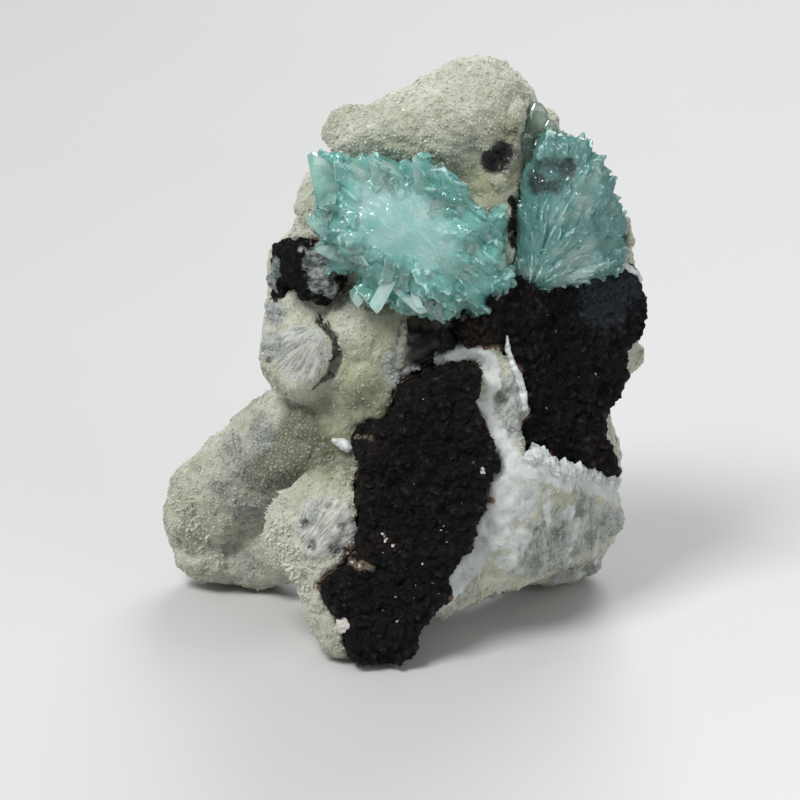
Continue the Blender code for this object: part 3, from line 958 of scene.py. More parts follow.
ZEOLITE_TONES = {
    "white": [
        *VEIN,
        *WHITE_LOBE,
        *along([(546, 494, 6, 0.9), (545, 512, 5, 0.8), (547, 524, 4, 0.7)]),
        *along([(577, 520, 4, 0.7), (575, 534, 5, 0.8), (570, 548, 4, 0.7)]),
        *along([(597, 542, 4, 0.7), (594, 558, 5, 0.8)]),
        (520, 500, 22, 0.9),
        (518, 540, 16, 0.8),
        (506, 560, 13, 0.7),
        (566, 512, 9, 0.9),
        (568, 560, 6, 0.7),
        (580, 575, 7, 0.8),
    ],
    "grey": [
        *STREAK_FACE,
        (525, 400, 26, 1.2),
        (520, 372, 14, 1.0),
        (512, 428, 12, 1.0),
        (500, 590, 24, 0.8),
        (470, 602, 18, 0.7),
        (277, 312, 12, 1.1),
        (271, 345, 12, 1.2),
        (266, 378, 11, 1.1),
        (262, 440, 16, 0.5),
        (300, 250, 14, 0.9),
        (412, 366, 26, 1.3),
        (436, 345, 24, 1.3),
        (398, 385, 14, 1.0),
        (460, 335, 20, 1.2),
        (520, 200, 12, 0.4),
    ],
    "wormy": [(238, 458, 24, 1.0), (222, 488, 16, 0.9), (262, 430, 16, 1.2), (250, 510, 20, 0.9), (252, 560, 16, 0.5)],
    "yellow": [
        (392, 330, 40, 0.7),
        (372, 392, 60, 0.8),
        (345, 430, 50, 0.8),
        (310, 450, 44, 0.7),
        (335, 470, 36, 0.8),
        (300, 492, 24, 0.5),
        (362, 300, 34, 0.5),
        (474, 188, 30, 0.8),
        (515, 175, 16, 0.9),
        (508, 130, 16, 0.8),
        (622, 236, 14, 0.8),
        (400, 135, 40, 0.35),
        (440, 110, 40, 0.25),
        (220, 520, 46, 0.35),
        (190, 530, 24, 0.35),
    ],
    # Olive tone with painted shade, where the fingers lie in shadow
    "shade": [
        *along([(300, 422, 22, 1.1), (300, 448, 30, 1.3), (280, 462, 28, 1.2), (258, 484, 22, 0.7)]),
        *along([(330, 410, 16, 0.5), (352, 400, 22, 0.6), (380, 398, 16, 0.8), (398, 384, 14, 1)]),
        *along([(330, 470, 12, 0.8), (352, 462, 12, 0.9), (372, 440, 12, 0.6)]),
        (274, 500, 14, 0.7),
        (360, 306, 18, 0.5),
        (300, 300, 14, 0.4),
    ],
    "silk": [(302, 354, 24, 1), (326, 528, 25, 1)],
    "slots": [(304, 524, 6, 1), (312, 544, 6, 0.9), (334, 548, 8, 1), (342, 524, 6, 0.8), (328, 506, 5, 0.7), (549, 540, 9, 0.8), (535, 528, 7, 0.8), (296, 344, 5, 0.6), (308, 372, 6, 0.5)],
    "dark": [
        *along([(318, 322, 3, 1), (334, 336, 4, 1), (338, 356, 5, 1), (331, 376, 5, 1), (314, 387, 4, 1)], 3),
        *along([(511, 198, 4, 1), (515, 212, 5, 1), (513, 228, 5, 1), (514, 244, 5, 1)], 3),
        # Painted shadow: the hollow under the spray, in this line, the next four and at (398, 378), is painted near
        # black
        *along([(412, 336, 9, 1), (432, 340, 12, 1), (448, 346, 10, 1)]),
        (424, 330, 22, 1.3),
        (424, 354, 16, 1.1),
        (444, 334, 22, 0.9),
        (408, 362, 16, 0.5),
        (495, 160, 13, 1.2),
        (503, 150, 11, 1.0),
        (512, 134, 12, 0.42),
        (500, 398, 8, 0.7),
        (292, 268, 7, 0.8),
        (269, 360, 4, 0.8),
        (276, 300, 5, 0.7),
        (398, 378, 12, 0.45),
    ],
    "rust": [(492, 500, 4, 1), (487, 508, 3, 1), (448, 596, 5, 1), (346, 548, 5, 0.9), (622, 395, 8, 0.8), (612, 440, 6, 0.8)],
}
BARE = [
    (548, 520, 34, 1),
    (590, 520, 36, 1),
    (565, 552, 30, 1),
    (515, 565, 30, 1),
    (520, 400, 26, 1),
    (420, 350, 40, 0.9),
    (372, 392, 44, 0.6),
    (345, 430, 34, 0.6),
    (302, 354, 34, 0.8),
    (480, 190, 26, 0.5),
]
# Where the far left finger is notched, in pixels
NOTCH = [(170, 541, 8, 1), (178, 546, 9, 1), (190, 552, 8, 0.6)]
COARSE = along([(278, 505, 16, 1), (280, 535, 18, 1), (290, 565, 15, 1), (305, 585, 11, 1)]) + along(
    [(180, 500, 14, 1), (195, 530, 16, 0.9), (215, 555, 12, 0.8)]
)
# What the fibres of a face radiate from, and the reach of that face, in pixels
FIBRE_CENTRES = ((330, 322, 70), (250, 610, 130), (600, 250, 330))


# Ridges that grew as one with the zeolite: spots (u, v, half width, forward)
FUSED_RIDGES = {
    "lobe_rim": [(517, 110, 0.9, 0.2), (513, 124, 1.1, 0.3), (511, 140, 1.1, 0.4), (508, 156, 1.0, 0.4), (504, 172, 0.9, 0.3), (498, 186, 0.8, 0.1)],
    "crest": [(438, 360, 0.6, -0.2), (450, 356, 1.0, -0.4), (464, 352, 1.3, -0.6), (478, 351, 1.5, -0.8), (489, 356, 1.5, -0.8)],
    "vein": [(489, 356, 1.5, -0.8), (494, 370, 1.3, -0.7), (489, 386, 1.2, -0.8), (483, 404, 1.1, -0.8), (489, 424, 1.2, -0.8), (497, 444, 1.3, -0.9)],
    "vug_rim": [(514, 424, 0.9, -0.4), (524, 412, 0.8, -0.4)],
    "right_bit": [(641, 342, 0.7, -0.2), (637, 352, 1.0, -0.3), (635, 364, 0.9, -0.3), (631, 376, 0.6, -0.3)],
    "edge_bit": [(386, 398, 0.6, -0.2), (382, 408, 0.8, -0.2), (380, 418, 0.6, -0.2)],
}
# Knobs that the outline shows: (u, v, depth, radius)
LUMPS = ((340, 124, 3, 2.0), (352, 118, 3, 1.8), (333, 134, 3, 1.6), (364, 116, 3, 1.4), (310, 196, 2, 1.5), (303, 208, 1, 1.3))


def add_beads(bm, surface, spots):
    """Overlapping beads along a line of spots."""
    for u, v, half, forward in along(spots, 1.5):
        place, _ = seen(surface, u, v)
        if place is None:
            continue
        centre = place - line_of_sight(u, v) * forward * MM
        bmesh.ops.create_icosphere(
            bm, subdivisions=2, radius=half * MM, matrix=Matrix.Translation(centre)
        )


def store_fibres(obj, centres):
    """Stores how far each point is across and along the fibres of the nearest face."""
    u, v = picture(places(obj))
    across, run = np.zeros(len(u)), np.zeros(len(u))
    nearest = np.full(len(u), np.inf)
    for centre_u, centre_v, reach in centres:
        away = np.hypot(u - centre_u, v - centre_v)
        taken = (away / reach) < nearest
        nearest[taken] = (away / reach)[taken]
        turn = np.arctan2(v - centre_v, u - centre_u)
        across[taken] = (turn * reach * PIXEL / MM)[taken]
        run[taken] = (away * PIXEL / MM)[taken]
    store(obj, "across", across)
    store(obj, "along", run)
    return across, run


def on_line(u, v, depth):
    """The place on a line of sight at a depth y, in millimetres."""
    ray = line_of_sight(u, v)
    return EYE + ray * ((depth * MM + MOVED.y - EYE.y) / ray.y)


def build_zeolite(finish, cad_surface):
    solid = copy_of("zeolite_fingers")
    bm = bmesh.new()
    bm.from_mesh(solid.data)
    for spots in FUSED_RIDGES.values():
        add_beads(bm, cad_surface, spots)
    for u, v, depth, radius in LUMPS:
        bmesh.ops.create_icosphere(
            bm, subdivisions=2, radius=radius * MM, matrix=Matrix.Translation(on_line(u, v, depth))
        )
    bm.to_mesh(solid.data)
    bm.free()
    obj = sculpt(solid, 0.50 * MM, 4)
    obj.name = "zeolite_skin"
    where = places(obj)
    surface = surface_of(obj)
    tones = {name: zone(where, surface, spots) for name, spots in ZEOLITE_TONES.items()}
    for name, values in tones.items():
        store(obj, name, values)
    across, run = store_fibres(obj, FIBRE_CENTRES)
    ribs = np.array([noise.noise((a / 0.55, r * 0.16, 0)) for a, r in zip(across, run)])
    bare = np.clip(np.maximum.reduce([tones["white"] * 1.4, tones["silk"], zone(where, surface, BARE)]), 0, 1)
    silk = np.clip(tones["silk"], 0, 1)
    notch = np.clip(zone(where, surface, NOTCH), 0, 1)
    lift = 0.34 + 0.50 * fractal(where, 4.2 * MM) + 0.26 * fractal(where, 1.5 * MM, 3, 7.3)
    lift += (1 - bare) * 0.30 * fractal(where, 0.8 * MM, 2, 1.7)
    columns = np.array([noise.noise((a / 1.7, r * 0.12, 4)) for a, r in zip(across, run)])
    lift += np.clip(zone(where, surface, STREAK_FACE), 0, 1) * 1.1 * columns
    lift += silk * 0.42 * ribs - np.clip(tones["dark"] + tones["slots"] * 0.8, 0, 1) * 0.45
    lift -= notch * 1.5
    move_to(obj, where + normals(obj) * lift[:, None] * MM)
    store(obj, "sharp", sharpness(obj, 0.07 * MM))
    store(obj, "grow", 1 - bare)
    store(obj, "coarse", zone(where, surface, COARSE))
    obj.data.materials.clear()
    obj.data.materials.append(finish)
    shade_smooth(obj)
    return obj


ROCK_TONES = {
    "brown": [(482, 300, 34, 1), (470, 335, 22, 0.8), (505, 290, 14, 0.7), (618, 400, 14, 0.6)],
    # Where the rock is glossier and a blue-grey sheen is painted on as reflection
    "sheen": [(605, 298, 34, 1), (630, 290, 20, 0.8), (575, 290, 16, 0.5), (560, 440, 14, 0.3)],
    "tan": [
        *along([(348, 442, 4, 0.8), (358, 437, 4, 0.9), (372, 440, 3, 0.7)], 3),
        *along([(349, 560, 5, 0.8), (360, 566, 6, 0.9), (372, 568, 5, 0.7)], 3),
        *along([(440, 352, 3, 0.6), (455, 362, 3, 0.7)], 3),
        (352, 520, 4, 0.6),
        (496, 284, 4, 0.8),
        (466, 320, 4, 0.7),
        (440, 604, 4, 0.6),
    ],
    "pale": [(322, 262, 20, 1.2), (318, 282, 12, 1.1), (276, 268, 10, 1.3), (272, 284, 8, 1.1), (300, 300, 14, 1), (330, 292, 12, 1), (302, 250, 7, 0.8)],
}


def build_basalt(node, finish, zeolite):
    obj = sculpt(copy_of(node), 0.34 * MM, 2)
    obj.name = f"{node}_rock"
    where = places(obj)
    surface = surface_of(obj)
    for name, spots in ROCK_TONES.items():
        store(obj, name, zone(where, surface, spots))
    lift = 0.22 + 0.50 * fractal(where, 3.2 * MM) + 0.42 * fractal(where, 1.1 * MM, 3, 5.5)
    lift += 0.45 * (grain_heights(where, 1.0 * MM) - 0.4)
    crumble = np.array([noise.noise_vector(Vector(p) / (1.3 * MM)) for p in where])
    move_to(obj, where + (normals(obj) * lift[:, None] + crumble * 0.45) * MM)
    store(obj, "rim", nearness(places(obj), zeolite, 1.3 * MM))
    store(obj, "sharp", sharpness(obj, 0.08 * MM))
    obj.data.materials.clear()
    obj.data.materials.append(finish)
    return obj


# The large spray's outline in the picture: centre, half length, half width and turn
SPRAY = (405, 237, 106, 72, math.radians(34))
# The large teeth: root and tip in the picture, their depths, width and thickness
MAIN_TEETH = (
    ((350, 226), (327, 143), -6.5, -9.4, 6.8, 2.8),
    ((372, 226), (356, 151), -7.0, -9.8, 5.0, 2.6),
    ((400, 222), (381, 147), -7.0, -10.4, 4.6, 2.3),
    ((438, 226), (427, 149), -7.0, -10.9, 4.8, 2.4),
    ((455, 244), (455, 165), -7.0, -11.0, 4.2, 2.2),
    ((462, 256), (473, 184), -7.0, -10.8, 3.8, 2.1),
    ((468, 266), (488, 209), -6.6, -10.2, 3.4, 2.0),
    ((474, 276), (499, 233), -6.4, -9.8, 3.0, 1.8),
    ((480, 286), (511, 256), -6.0, -9.0, 2.8, 1.7),
    ((352, 246), (311, 212), -6.0, -8.6, 3.4, 2.0),
    ((352, 258), (316, 242), -6.0, -8.6, 2.8, 1.8),
)
# The pale blades at the spray's foot: root and tip in the picture, width and thickness
PALE_BLADES = (
    ((388, 284), (372, 312), 1.9, 0.9),
    ((396, 288), (426, 315), 1.3, 0.8),
    ((366, 286), (354, 306), 1.5, 0.8),
    ((352, 276), (340, 294), 1.2, 0.7),

    ((414, 292), (420, 310), 1.1, 0.7),
)


# The milky middle and the large block stay clear of small blades: (u, v, radius)
SMOOTH = ((334, 170, 30), (372, 205, 28), (404, 222, 34), (436, 240, 26), (372, 232, 18), (381, 301, 13), (413, 304, 13))


# How far small blades reach on the side of the large teeth, as a share of the outline
UPPER_REACH = 0.80


def dome_rows(surface, seed, count, shares, widths, thicknesses, stands, lift, sunk=0.3):
    """Blades that point away from the middle of the large spray and lie low on it."""
    draw = random.Random(seed)
    middle_u, middle_v, long_half, short_half, tilt = SPRAY
    middle, outward = seen(surface, middle_u, middle_v)
    rows = []
    for index in range(count):
        turn = math.tau * (index + draw.uniform(-0.4, 0.4)) * 0.618034
        share = math.sqrt(draw.uniform(shares[0] ** 2, shares[1] ** 2))
        share *= UPPER_REACH if math.sin(turn) < 0 else 1.0
        x, y = share * long_half * math.cos(turn), share * short_half * math.sin(turn)
        u = middle_u + x * math.cos(tilt) - y * math.sin(tilt)
        v = middle_v + x * math.sin(tilt) + y * math.cos(tilt)
        place, normal = seen(surface, u, v)
        if place is None or any(math.hypot(u - a, v - b) < r for a, b, r in SMOOTH):
            continue
        radial = place - middle
        radial -= normal * radial.dot(normal)
        stray = Vector([draw.uniform(-0.18, 0.18) for _ in range(3)])
        axis = (radial.normalized() * (1 - lift) + normal * lift + stray).normalized()
        stand = draw.uniform(*stands) * MM
        length = stand + draw.uniform(2.0, 3.2) * MM
        side = axis.cross(normal) * draw.choice((-1, 1)) + normal * draw.uniform(-0.3, 0.3)
        rows.append(
            {
                "foot": place - axis * (length - stand) - normal * sunk * MM,
                "axis": axis,
                "side": side.normalized(),
                "size": Vector((draw.uniform(*widths) * MM, draw.uniform(*thicknesses) * MM, length)),
                "pale": draw.uniform(0, 1) ** 1.5,
            }
        )
    return rows


def fused(name, pieces, voxel, smooth):
    """One closed body of pieces that grew into each other."""
    bm = bmesh.new()
    for piece in pieces:
        bm.from_mesh(piece.data)
        drop(piece)
    body = from_bmesh(name, bm)
    for layer in list(body.data.attributes):
        if not layer.is_required and not layer.is_internal:
            body.data.attributes.remove(layer)
    return sculpt(body, voxel, smooth)


def crystal_faces(obj, oval, cell, seed, slope, step):
    """Heights in millimetres of flat crystal faces, one a cell, that run out from the middle
    of an oval. A cell is (turn, share of the way to the rim)."""
    u, v = picture(places(obj))
    middle_u, middle_v, long_half, short_half, tilt = oval
    x = ((u - middle_u) * math.cos(tilt) + (v - middle_v) * math.sin(tilt)) / long_half
    y = ((v - middle_v) * math.cos(tilt) - (u - middle_u) * math.sin(tilt)) / short_half
    turn, away = np.arctan2(y, x), np.hypot(x, y)
    width, length = cell
    draw = np.random.default_rng(seed)
    count = int(math.tau / width * 1.4 / length)
    seeds = np.column_stack((draw.uniform(-math.pi, math.pi, count), draw.uniform(0, 1.4, count)))
    rise = draw.uniform(0.2, 1.0, count) * slope
    cross = draw.uniform(-1, 1, count) * slope
    level = draw.uniform(-1, 1, count) * step
    tree = kdtree.KDTree(count * 3)
    for index, (seed_turn, seed_away) in enumerate(seeds):
        for wrap in (-math.tau, 0, math.tau):
            tree.insert(((seed_turn + wrap) / width, seed_away / length, 0), index)
    tree.balance()
    reach = (long_half + short_half) / 2 * PIXEL / MM
    heights = np.empty(len(turn))
    for index, (t, r) in enumerate(zip(turn, away)):
        spot, chosen, _ = tree.find((t / width, r / length, 0))
        run_out = (r - seeds[chosen][1]) * reach
        run_across = (t - spot[0] * width) * r * reach
        heights[index] = level[chosen] + rise[chosen] * run_out + cross[chosen] * run_across
    return heights


def rounded_dome(centre, long_axis, outward, half_sizes):
    """A dome with a flattish crown: the shape that the small crystals of a spray cover."""
    long_axis, outward = Vector(long_axis).normalized(), Vector(outward).normalized()
    outward = (outward - long_axis * outward.dot(long_axis)).normalized()
    across = outward.cross(long_axis)
    bm = bmesh.new()
    bmesh.ops.create_icosphere(bm, subdivisions=5, radius=1.0)
    long_half, short_half, height = half_sizes
    for vertex in bm.verts:
        x, y, z = (math.copysign(abs(value) ** 0.86, value) for value in vertex.co)
        vertex.co = at(*centre) + (
            long_axis * x * long_half + across * y * short_half + outward * z * height
        ) * MM
    return from_bmesh("dome", bm)


def milky_core(body, depth, finish):
    """The cloudy inside of a clear body."""
    core = show(f"{body.name}_core", body.data.copy())
    sculpt(core, 0.5 * MM, 14)
    move_to(core, places(core) - normals(core) * depth * MM)
    core.data.materials.clear()
    core.data.materials.append(finish)
    return core


# The edge of the large spray that the teeth have to themselves, in pixels
TOOTH_EDGE = along(
    [(312, 160, 20, 1), (345, 152, 20, 1), (385, 160, 20, 1), (430, 166, 20, 1), (460, 184, 18, 1), (482, 214, 16, 1), (496, 240, 14, 1)]
)


def side_crystals(body, surface, crust, crystal, finish, sizes, seed):
    """Crystals that cover the parts of a spray that the picture doesn't show."""
    toward = -line_of_sight(*SPRAY[:2])
    facing = [surface.find_nearest(Vector(place))[1].dot(toward) for place in places(body)]
    hidden = (np.array(facing) < 0.12) & (zone(places(body), surface, TOOTH_EDGE) < 0.2)
    store(body, "grow", hidden.astype(np.float32))
    smallest, largest = sizes
    made = grown(
        body.name.replace("_body", "_side_crystals"),
        body,
        crust,
        grain=crystal,
        finish=finish,
        spacing=1.1 * MM,
        smallest=tuple(size * MM for size in smallest),
        largest=tuple(size * MM for size in largest),
        lean=(0.0, -0.2, 0.25),
        scatter=0.5,
        depth=0.3 * MM,
        seed=seed,
    )
    return made


def tooth_rows():
    rows = []
    for root, tip, root_depth, tip_depth, width, thickness in MAIN_TEETH:
        foot, end = on_line(*root, root_depth), on_line(*tip, tip_depth)
        axis = (end - foot).normalized()
        side = line_of_sight(*tip).cross(axis)
        rows.append(
            {
                "foot": foot,
                "axis": axis,
                "side": (side if side.x > 0 else -side).normalized(),
                "size": Vector((width * MM, thickness * MM, (end - foot).length)),
            }
        )
    return rows


def pale_rows(surface):
    rows = []
    for root, tip, width, thickness in PALE_BLADES:
        place, _ = seen(surface, *root)
        if place is None:
            continue
        toward = -line_of_sight(*tip)
        deep = (place.y - MOVED.y) / MM
        end = on_line(*tip, deep - 1.2)
        axis = (end - place).normalized()
        rows.append(
            {
                "foot": place - axis * 1.0 * MM - toward * 0.2 * MM,
                "axis": axis,
                "side": axis.cross(toward).normalized(),
                "size": Vector((width, thickness, (end - place).length / MM + 1.0)) * MM,
            }
        )
    return rows


def build_main_spray(trees, shapes, clear, pale_clear, tooth_look, blade_look, milky, shell):
    crust, placed = trees
    tooth, prism, blade = shapes
    dome = rounded_dome((0.8, -4.2, 58.5), (0.80, 0.08, -0.59), (-0.16, -0.93, 0.33), (13.6, 8.6, 8.4))
    base = fused("base", [sculpt(copy_of("apophyllite_main"), 0.5 * MM, 20), dome], 0.4 * MM, 10)
    surface = surface_of(base)
    grown_in = (
        ("plates", dome_rows(surface, 3, 90, (0.55, 0.98), (1.6, 3.2), (0.8, 1.3), (0.4, 1.2), 0.05, 0.35), blade),
        ("points", dome_rows(surface, 6, 120, (0.62, 1.0), (0.8, 1.8), (0.6, 1.1), (0.4, 1.4), 0.08, 0.3), tooth),
    )
    pieces = [base]
    for name, rows, shape in grown_in:
        points = points_with(name, rows)
        pieces.append(grown(name, points, placed, crystal=shape, finish=milky))
        drop(points)
    body = fused("apophyllite_main_body", pieces, 0.22 * MM, 1)
    where = places(body)
    calm = np.clip(zone(where, surface, [(372, 205, 28, 1.2), (404, 225, 38, 1.2), (436, 240, 28, 1.2)]), 0, 1)
    lift = crystal_faces(body, SPRAY, (0.24, 0.26), 3, 0.24, 0.28)
    lift += crystal_faces(body, SPRAY, (0.10, 0.12), 5, 0.26, 0.13)
    lift *= 1 - calm * 0.92
    lift += 0.22 * fractal(where, 2.6 * MM)
    move_to(body, where + normals(body) * np.clip(lift, -0.6, 0.6)[:, None] * MM)
    where = places(body)
    pale_spots = [(375, 205, 30, 1), (400, 222, 36, 1), (435, 245, 30, 0.8), (350, 235, 16, 0.6), (470, 262, 18, 0.5)]
    store_fibres(body, ((600, 420, 200),))
    store(body, "sharp", sharpness(body, 0.05 * MM))
    core = milky_core(body, 0.45, milky)
    store_fibres(core, ((600, 420, 200),))
    for piece in (body, core):
        store(piece, "pale", zone(places(piece), surface, pale_spots))
    body.data.materials.clear()
    body.data.materials.append(shell)
    sides = side_crystals(
        body, surface, crust, tooth, clear, ((0.8, 0.4, 0.7), (1.7, 0.9, 1.5)), 51
    )
    made = [body, core, sides]
    sets = (
        ("teeth", tooth_rows(), tooth, tooth_look),
        ("blades", pale_rows(surface), blade, blade_look),
        ("rim_plates", dome_rows(surface, 16, 46, (0.86, 0.97), (1.0, 2.2), (0.4, 0.8), (0.7, 1.6), 0.08), tooth, clear),
        ("shards", dome_rows(surface, 26, 60, (0.58, 0.96), (0.8, 1.9), (0.3, 0.6), (0.5, 1.3), 0.06, 0.20), blade, pale_clear),
    )
    for name, rows, shape, finish in sets:
        points = points_with(name, rows)
        made.append(grown(f"apophyllite_main_{name}", points, placed, crystal=shape, finish=finish))
        drop(points)
    return made


FAN_ROOT = (17.2, -2.6, 50.6)
FAN_REACH = ((4.0, 13.4), (26.0, 14.6), (45.0, 16.2), (62.0, 19.2), (78.0, 21.6), (90.0, 21.0))
FAN_CENTRE = (528, 292)
INCLUSION_RING = [
    (548 + 17 * math.cos(turn), 175 + 12 * math.sin(turn), 9, 0.75)
    for turn in np.linspace(0, math.tau, 14, endpoint=False)
]


def reach_at(angle):
    for (low, near), (high, far) in zip(FAN_REACH, FAN_REACH[1:]):
        if angle <= high:
            return near + (far - near) * (angle - low) / (high - low)
    return FAN_REACH[-1][1]


def fan_rows(seed):
    """Blades at the fan's rim, in layers that stand forward of each other."""
    draw = random.Random(seed)
    rows = []
    for count, share, forward in ((17, 1.0, 0.5), (13, 0.97, 1.5)):
        for index in range(count):
            angle = 4 + 82 * (index + draw.uniform(0.2, 0.8)) / count
            reach = reach_at(angle) * share * draw.uniform(0.94, 1.02)
            turn = math.radians(angle)
            tip_y = FAN_ROOT[1] + 5.2 * math.cos(turn) * share - forward
            root = (
                FAN_ROOT[0] + 0.74 * reach * math.cos(turn),
                FAN_ROOT[1] + 0.74 * (tip_y - FAN_ROOT[1]) + 0.5,
                FAN_ROOT[2] + 0.74 * reach * math.sin(turn),
            )
            tip = (
                FAN_ROOT[0] + reach * math.cos(turn),
                tip_y,
                FAN_ROOT[2] + reach * math.sin(turn),
            )
            side = (-math.sin(turn), 0.1, math.cos(turn))
            rows.append(crystal_row(root, tip, side, draw.uniform(1.0, 2.2), draw.uniform(0.8, 1.4)))
    return rows


def build_fan(trees, shapes, clear, milky, shell):
    crust, placed = trees
    tooth, _, blade = shapes
    inner = sculpt(copy_of("apophyllite_right"), 0.36 * MM, 6)
    where = places(inner)
    move_to(inner, where + normals(inner) * 0.25 * MM)
    rounded = surface_of(inner)
    points = points_with("fan", fan_rows(11))
    blades = grown("fan_blades", points, placed, crystal=blade, finish=milky)
    drop(points)
    body = fused("apophyllite_right_body", [inner, blades], 0.24 * MM, 4)
    where = places(body)
    oval = (*FAN_CENTRE, 150, 150, 0)
    lift = crystal_faces(body, oval, (0.10, 0.34), 4, 0.08, 0.10)
    lift += crystal_faces(body, oval, (0.045, 0.14), 6, 0.10, 0.045)
    lift += 0.35 * fractal(where, 2.6 * MM)
    move_to(body, where + normals(body) * lift[:, None] * MM)
    surface = surface_of(body)
    store(body, "sharp", sharpness(body, 0.05 * MM))
    core = milky_core(body, 0.45, milky)
    spots = [*INCLUSION_RING, (549, 175, 16, 0.55), (536, 183, 11, 1.3), (567, 167, 10, 1.3), (553, 187, 8, 1.0)]
    pale_spots = [(585, 190, 20, 0.8), (560, 215, 16, 0.6), (575, 262, 26, 1), (530, 270, 14, 0.8)]
    for piece in (body, core):
        store_fibres(piece, ((*FAN_CENTRE, 120),))
        store(piece, "pale", zone(places(piece), surface, pale_spots))
        store(piece, "dark", zone(places(piece), surface, spots))
    body.data.materials.clear()
    body.data.materials.append(shell)
    sides = side_crystals(
        body, rounded, crust, tooth, clear, ((0.7, 0.4, 0.5), (1.3, 0.7, 1.1)), 52
    )
    return [body, core, sides]


def build_tip(trees, shapes, clear):
    _, placed = trees
    rows = [
        crystal_row((17.6, 2.0, 64.0), (18.2, 1.0, 76.0), (1, 0.2, 0.2), 3.0, 2.4),
        crystal_row((18.8, 1.4, 64.0), (20.1, 0.6, 73.6), (1, 0.1, -0.2), 2.4, 2.2),
        crystal_row((16.8, 1.2, 64.0), (16.6, 0.2, 72.0), (1, 0.3, 0.0), 2.0, 1.8),
    ]
    points = points_with("tip", rows)
    made = grown("apophyllite_tip_crystals", points, placed, crystal=shapes[1], finish=clear)
    drop(points)
    return made


def build_druse(trees, zeolite, finish):
    """Grains that stand out of the zeolite's skin and roughen its outline."""
    crust, _ = trees
    grain = small_grain("grain")
    made = []
    skin = np.zeros(len(zeolite.data.vertices), dtype=np.float32)
    zeolite.data.attributes["grow"].data.foreach_get("value", skin)
    coarse = np.zeros(len(skin), dtype=np.float32)
    zeolite.data.attributes["coarse"].data.foreach_get("value", coarse)
    height = places(zeolite)[:, 2]
    halves = (("low", height < 36 * MM), ("high", height >= 36 * MM))
    for index, (name, chosen) in enumerate(halves):
        zeolite.data.attributes["grow"].data.foreach_set("value", skin * chosen)
        made.append(
            grown(
                f"zeolite_druse_{name}",
                zeolite,
                crust,
                grain=grain,
                finish=finish,
                spacing=0.46 * MM,
                smallest=(0.40 * MM, 0.40 * MM, 0.07 * MM),
                largest=(0.80 * MM, 0.70 * MM, 0.22 * MM),
                lean=(0.0, 0.0, 0.0),
                scatter=0.45,
                depth=0.02 * MM,
                seed=21 + index,
            )
        )
    zeolite.data.attributes["grow"].data.foreach_set("value", np.clip(coarse, 0, 1))
    made.append(
        grown(
            "zeolite_coarse_druse",
            zeolite,
            crust,
            grain=grain,
            finish=finish,
            spacing=0.62 * MM,
            smallest=(0.5 * MM, 0.5 * MM, 0.35 * MM),
            largest=(1.1 * MM, 0.9 * MM, 0.95 * MM),
            lean=(-0.35, -0.1, 0.0),
            scatter=0.4,
            depth=0.1 * MM,
            seed=31,
        )
    )
    zeolite.data.attributes["grow"].data.foreach_set("value", skin)
    drop(grain)
    return made


def chain(name, surface, spots, finish, rough=0.16):
    """A ridge through spots (u, v, half width, forward), in pixels and millimetres, on what is
    seen there."""
    bm = bmesh.new()
    add_beads(bm, surface, spots)
    obj = from_bmesh(name, bm)
    sculpt(obj, 0.15 * MM, 6)
    where = places(obj)
    lift = rough * (fractal(where, 1.4 * MM) + 0.8 * fractal(where, 0.5 * MM, 2, 3.0))
    move_to(obj, where + normals(obj) * lift[:, None] * MM)
    obj.data.materials.clear()
    obj.data.materials.append(finish)
    shade_smooth(obj)
    return obj


def spikes(name, surface, trees, shape, finish, line, count, size, direction, scatter, seed):
    """Crystals along a line of spots, in one direction, more or less."""
    draw = random.Random(seed)
    spots = along([(u, v, 0) for u, v in line], 1.0)
    rows = []
    for _ in range(count):
        u, v, _ = draw.choice(spots)
        place, normal = seen(surface, u + draw.uniform(-3, 3), v + draw.uniform(-3, 3))
        if place is None:
            continue
        stray = Vector([draw.uniform(-1, 1) for _ in range(3)]) * scatter
        axis = (Vector(direction) + normal * 0.3 + stray).normalized()
        width, length = size[0] * draw.uniform(0.6, 1.2), size[1] * draw.uniform(0.5, 1.2)
        rows.append(
            {
                "foot": place - axis * length * 0.3 * MM,
                "axis": axis,
                "side": axis.cross(Vector((0.2, 1, 0.1))).normalized(),
                "size": Vector((width, width * 0.6, length)) * MM,
            }
        )
    points = points_with(f"{name}_points", rows)
    made = grown(name, points, trees[1], crystal=shape, finish=finish)
    drop(points)
    return made


RIDGES = {
    "vein_ridge": [(507, 336, 0.22, 0.1), (508, 350, 0.36, 0.3), (512, 362, 0.48, 0.4), (518, 376, 0.55, 0.2), (523, 392, 0.6, -0.1), (524, 408, 0.5, -0.3)],
    "white_flake": [(333, 440, 0.35, 0.5), (338, 442, 0.7, 0.4), (344, 445, 0.85, 0.4), (349, 448, 0.6, 0.4)],
    "hollow_column": [(403, 324, 0.6, 0.1), (402, 334, 0.75, 0.2), (401, 346, 0.7, 0.2), (400, 356, 0.8, 0.1), (399, 366, 0.75, -0.1)],
    "right_rim": [(540, 286, 0.35, -0.1), (562, 276, 0.45, -0.1), (584, 268, 0.5, -0.1), (606, 268, 0.5, -0.1), (622, 264, 0.6, -0.1), (638, 274, 0.45, 0.0), (646, 292, 0.35, 0.0)],
}
FLECKS = ((383, 534, 5), (393, 546, 4), (386, 540, 4), (422, 562, 4), (395, 597, 4), (397, 622, 4), (484, 471, 5), (441, 530, 2), (462, 503, 2), (408, 560, 2), (360, 566, 4), (352, 562, 3), (466, 368, 2))


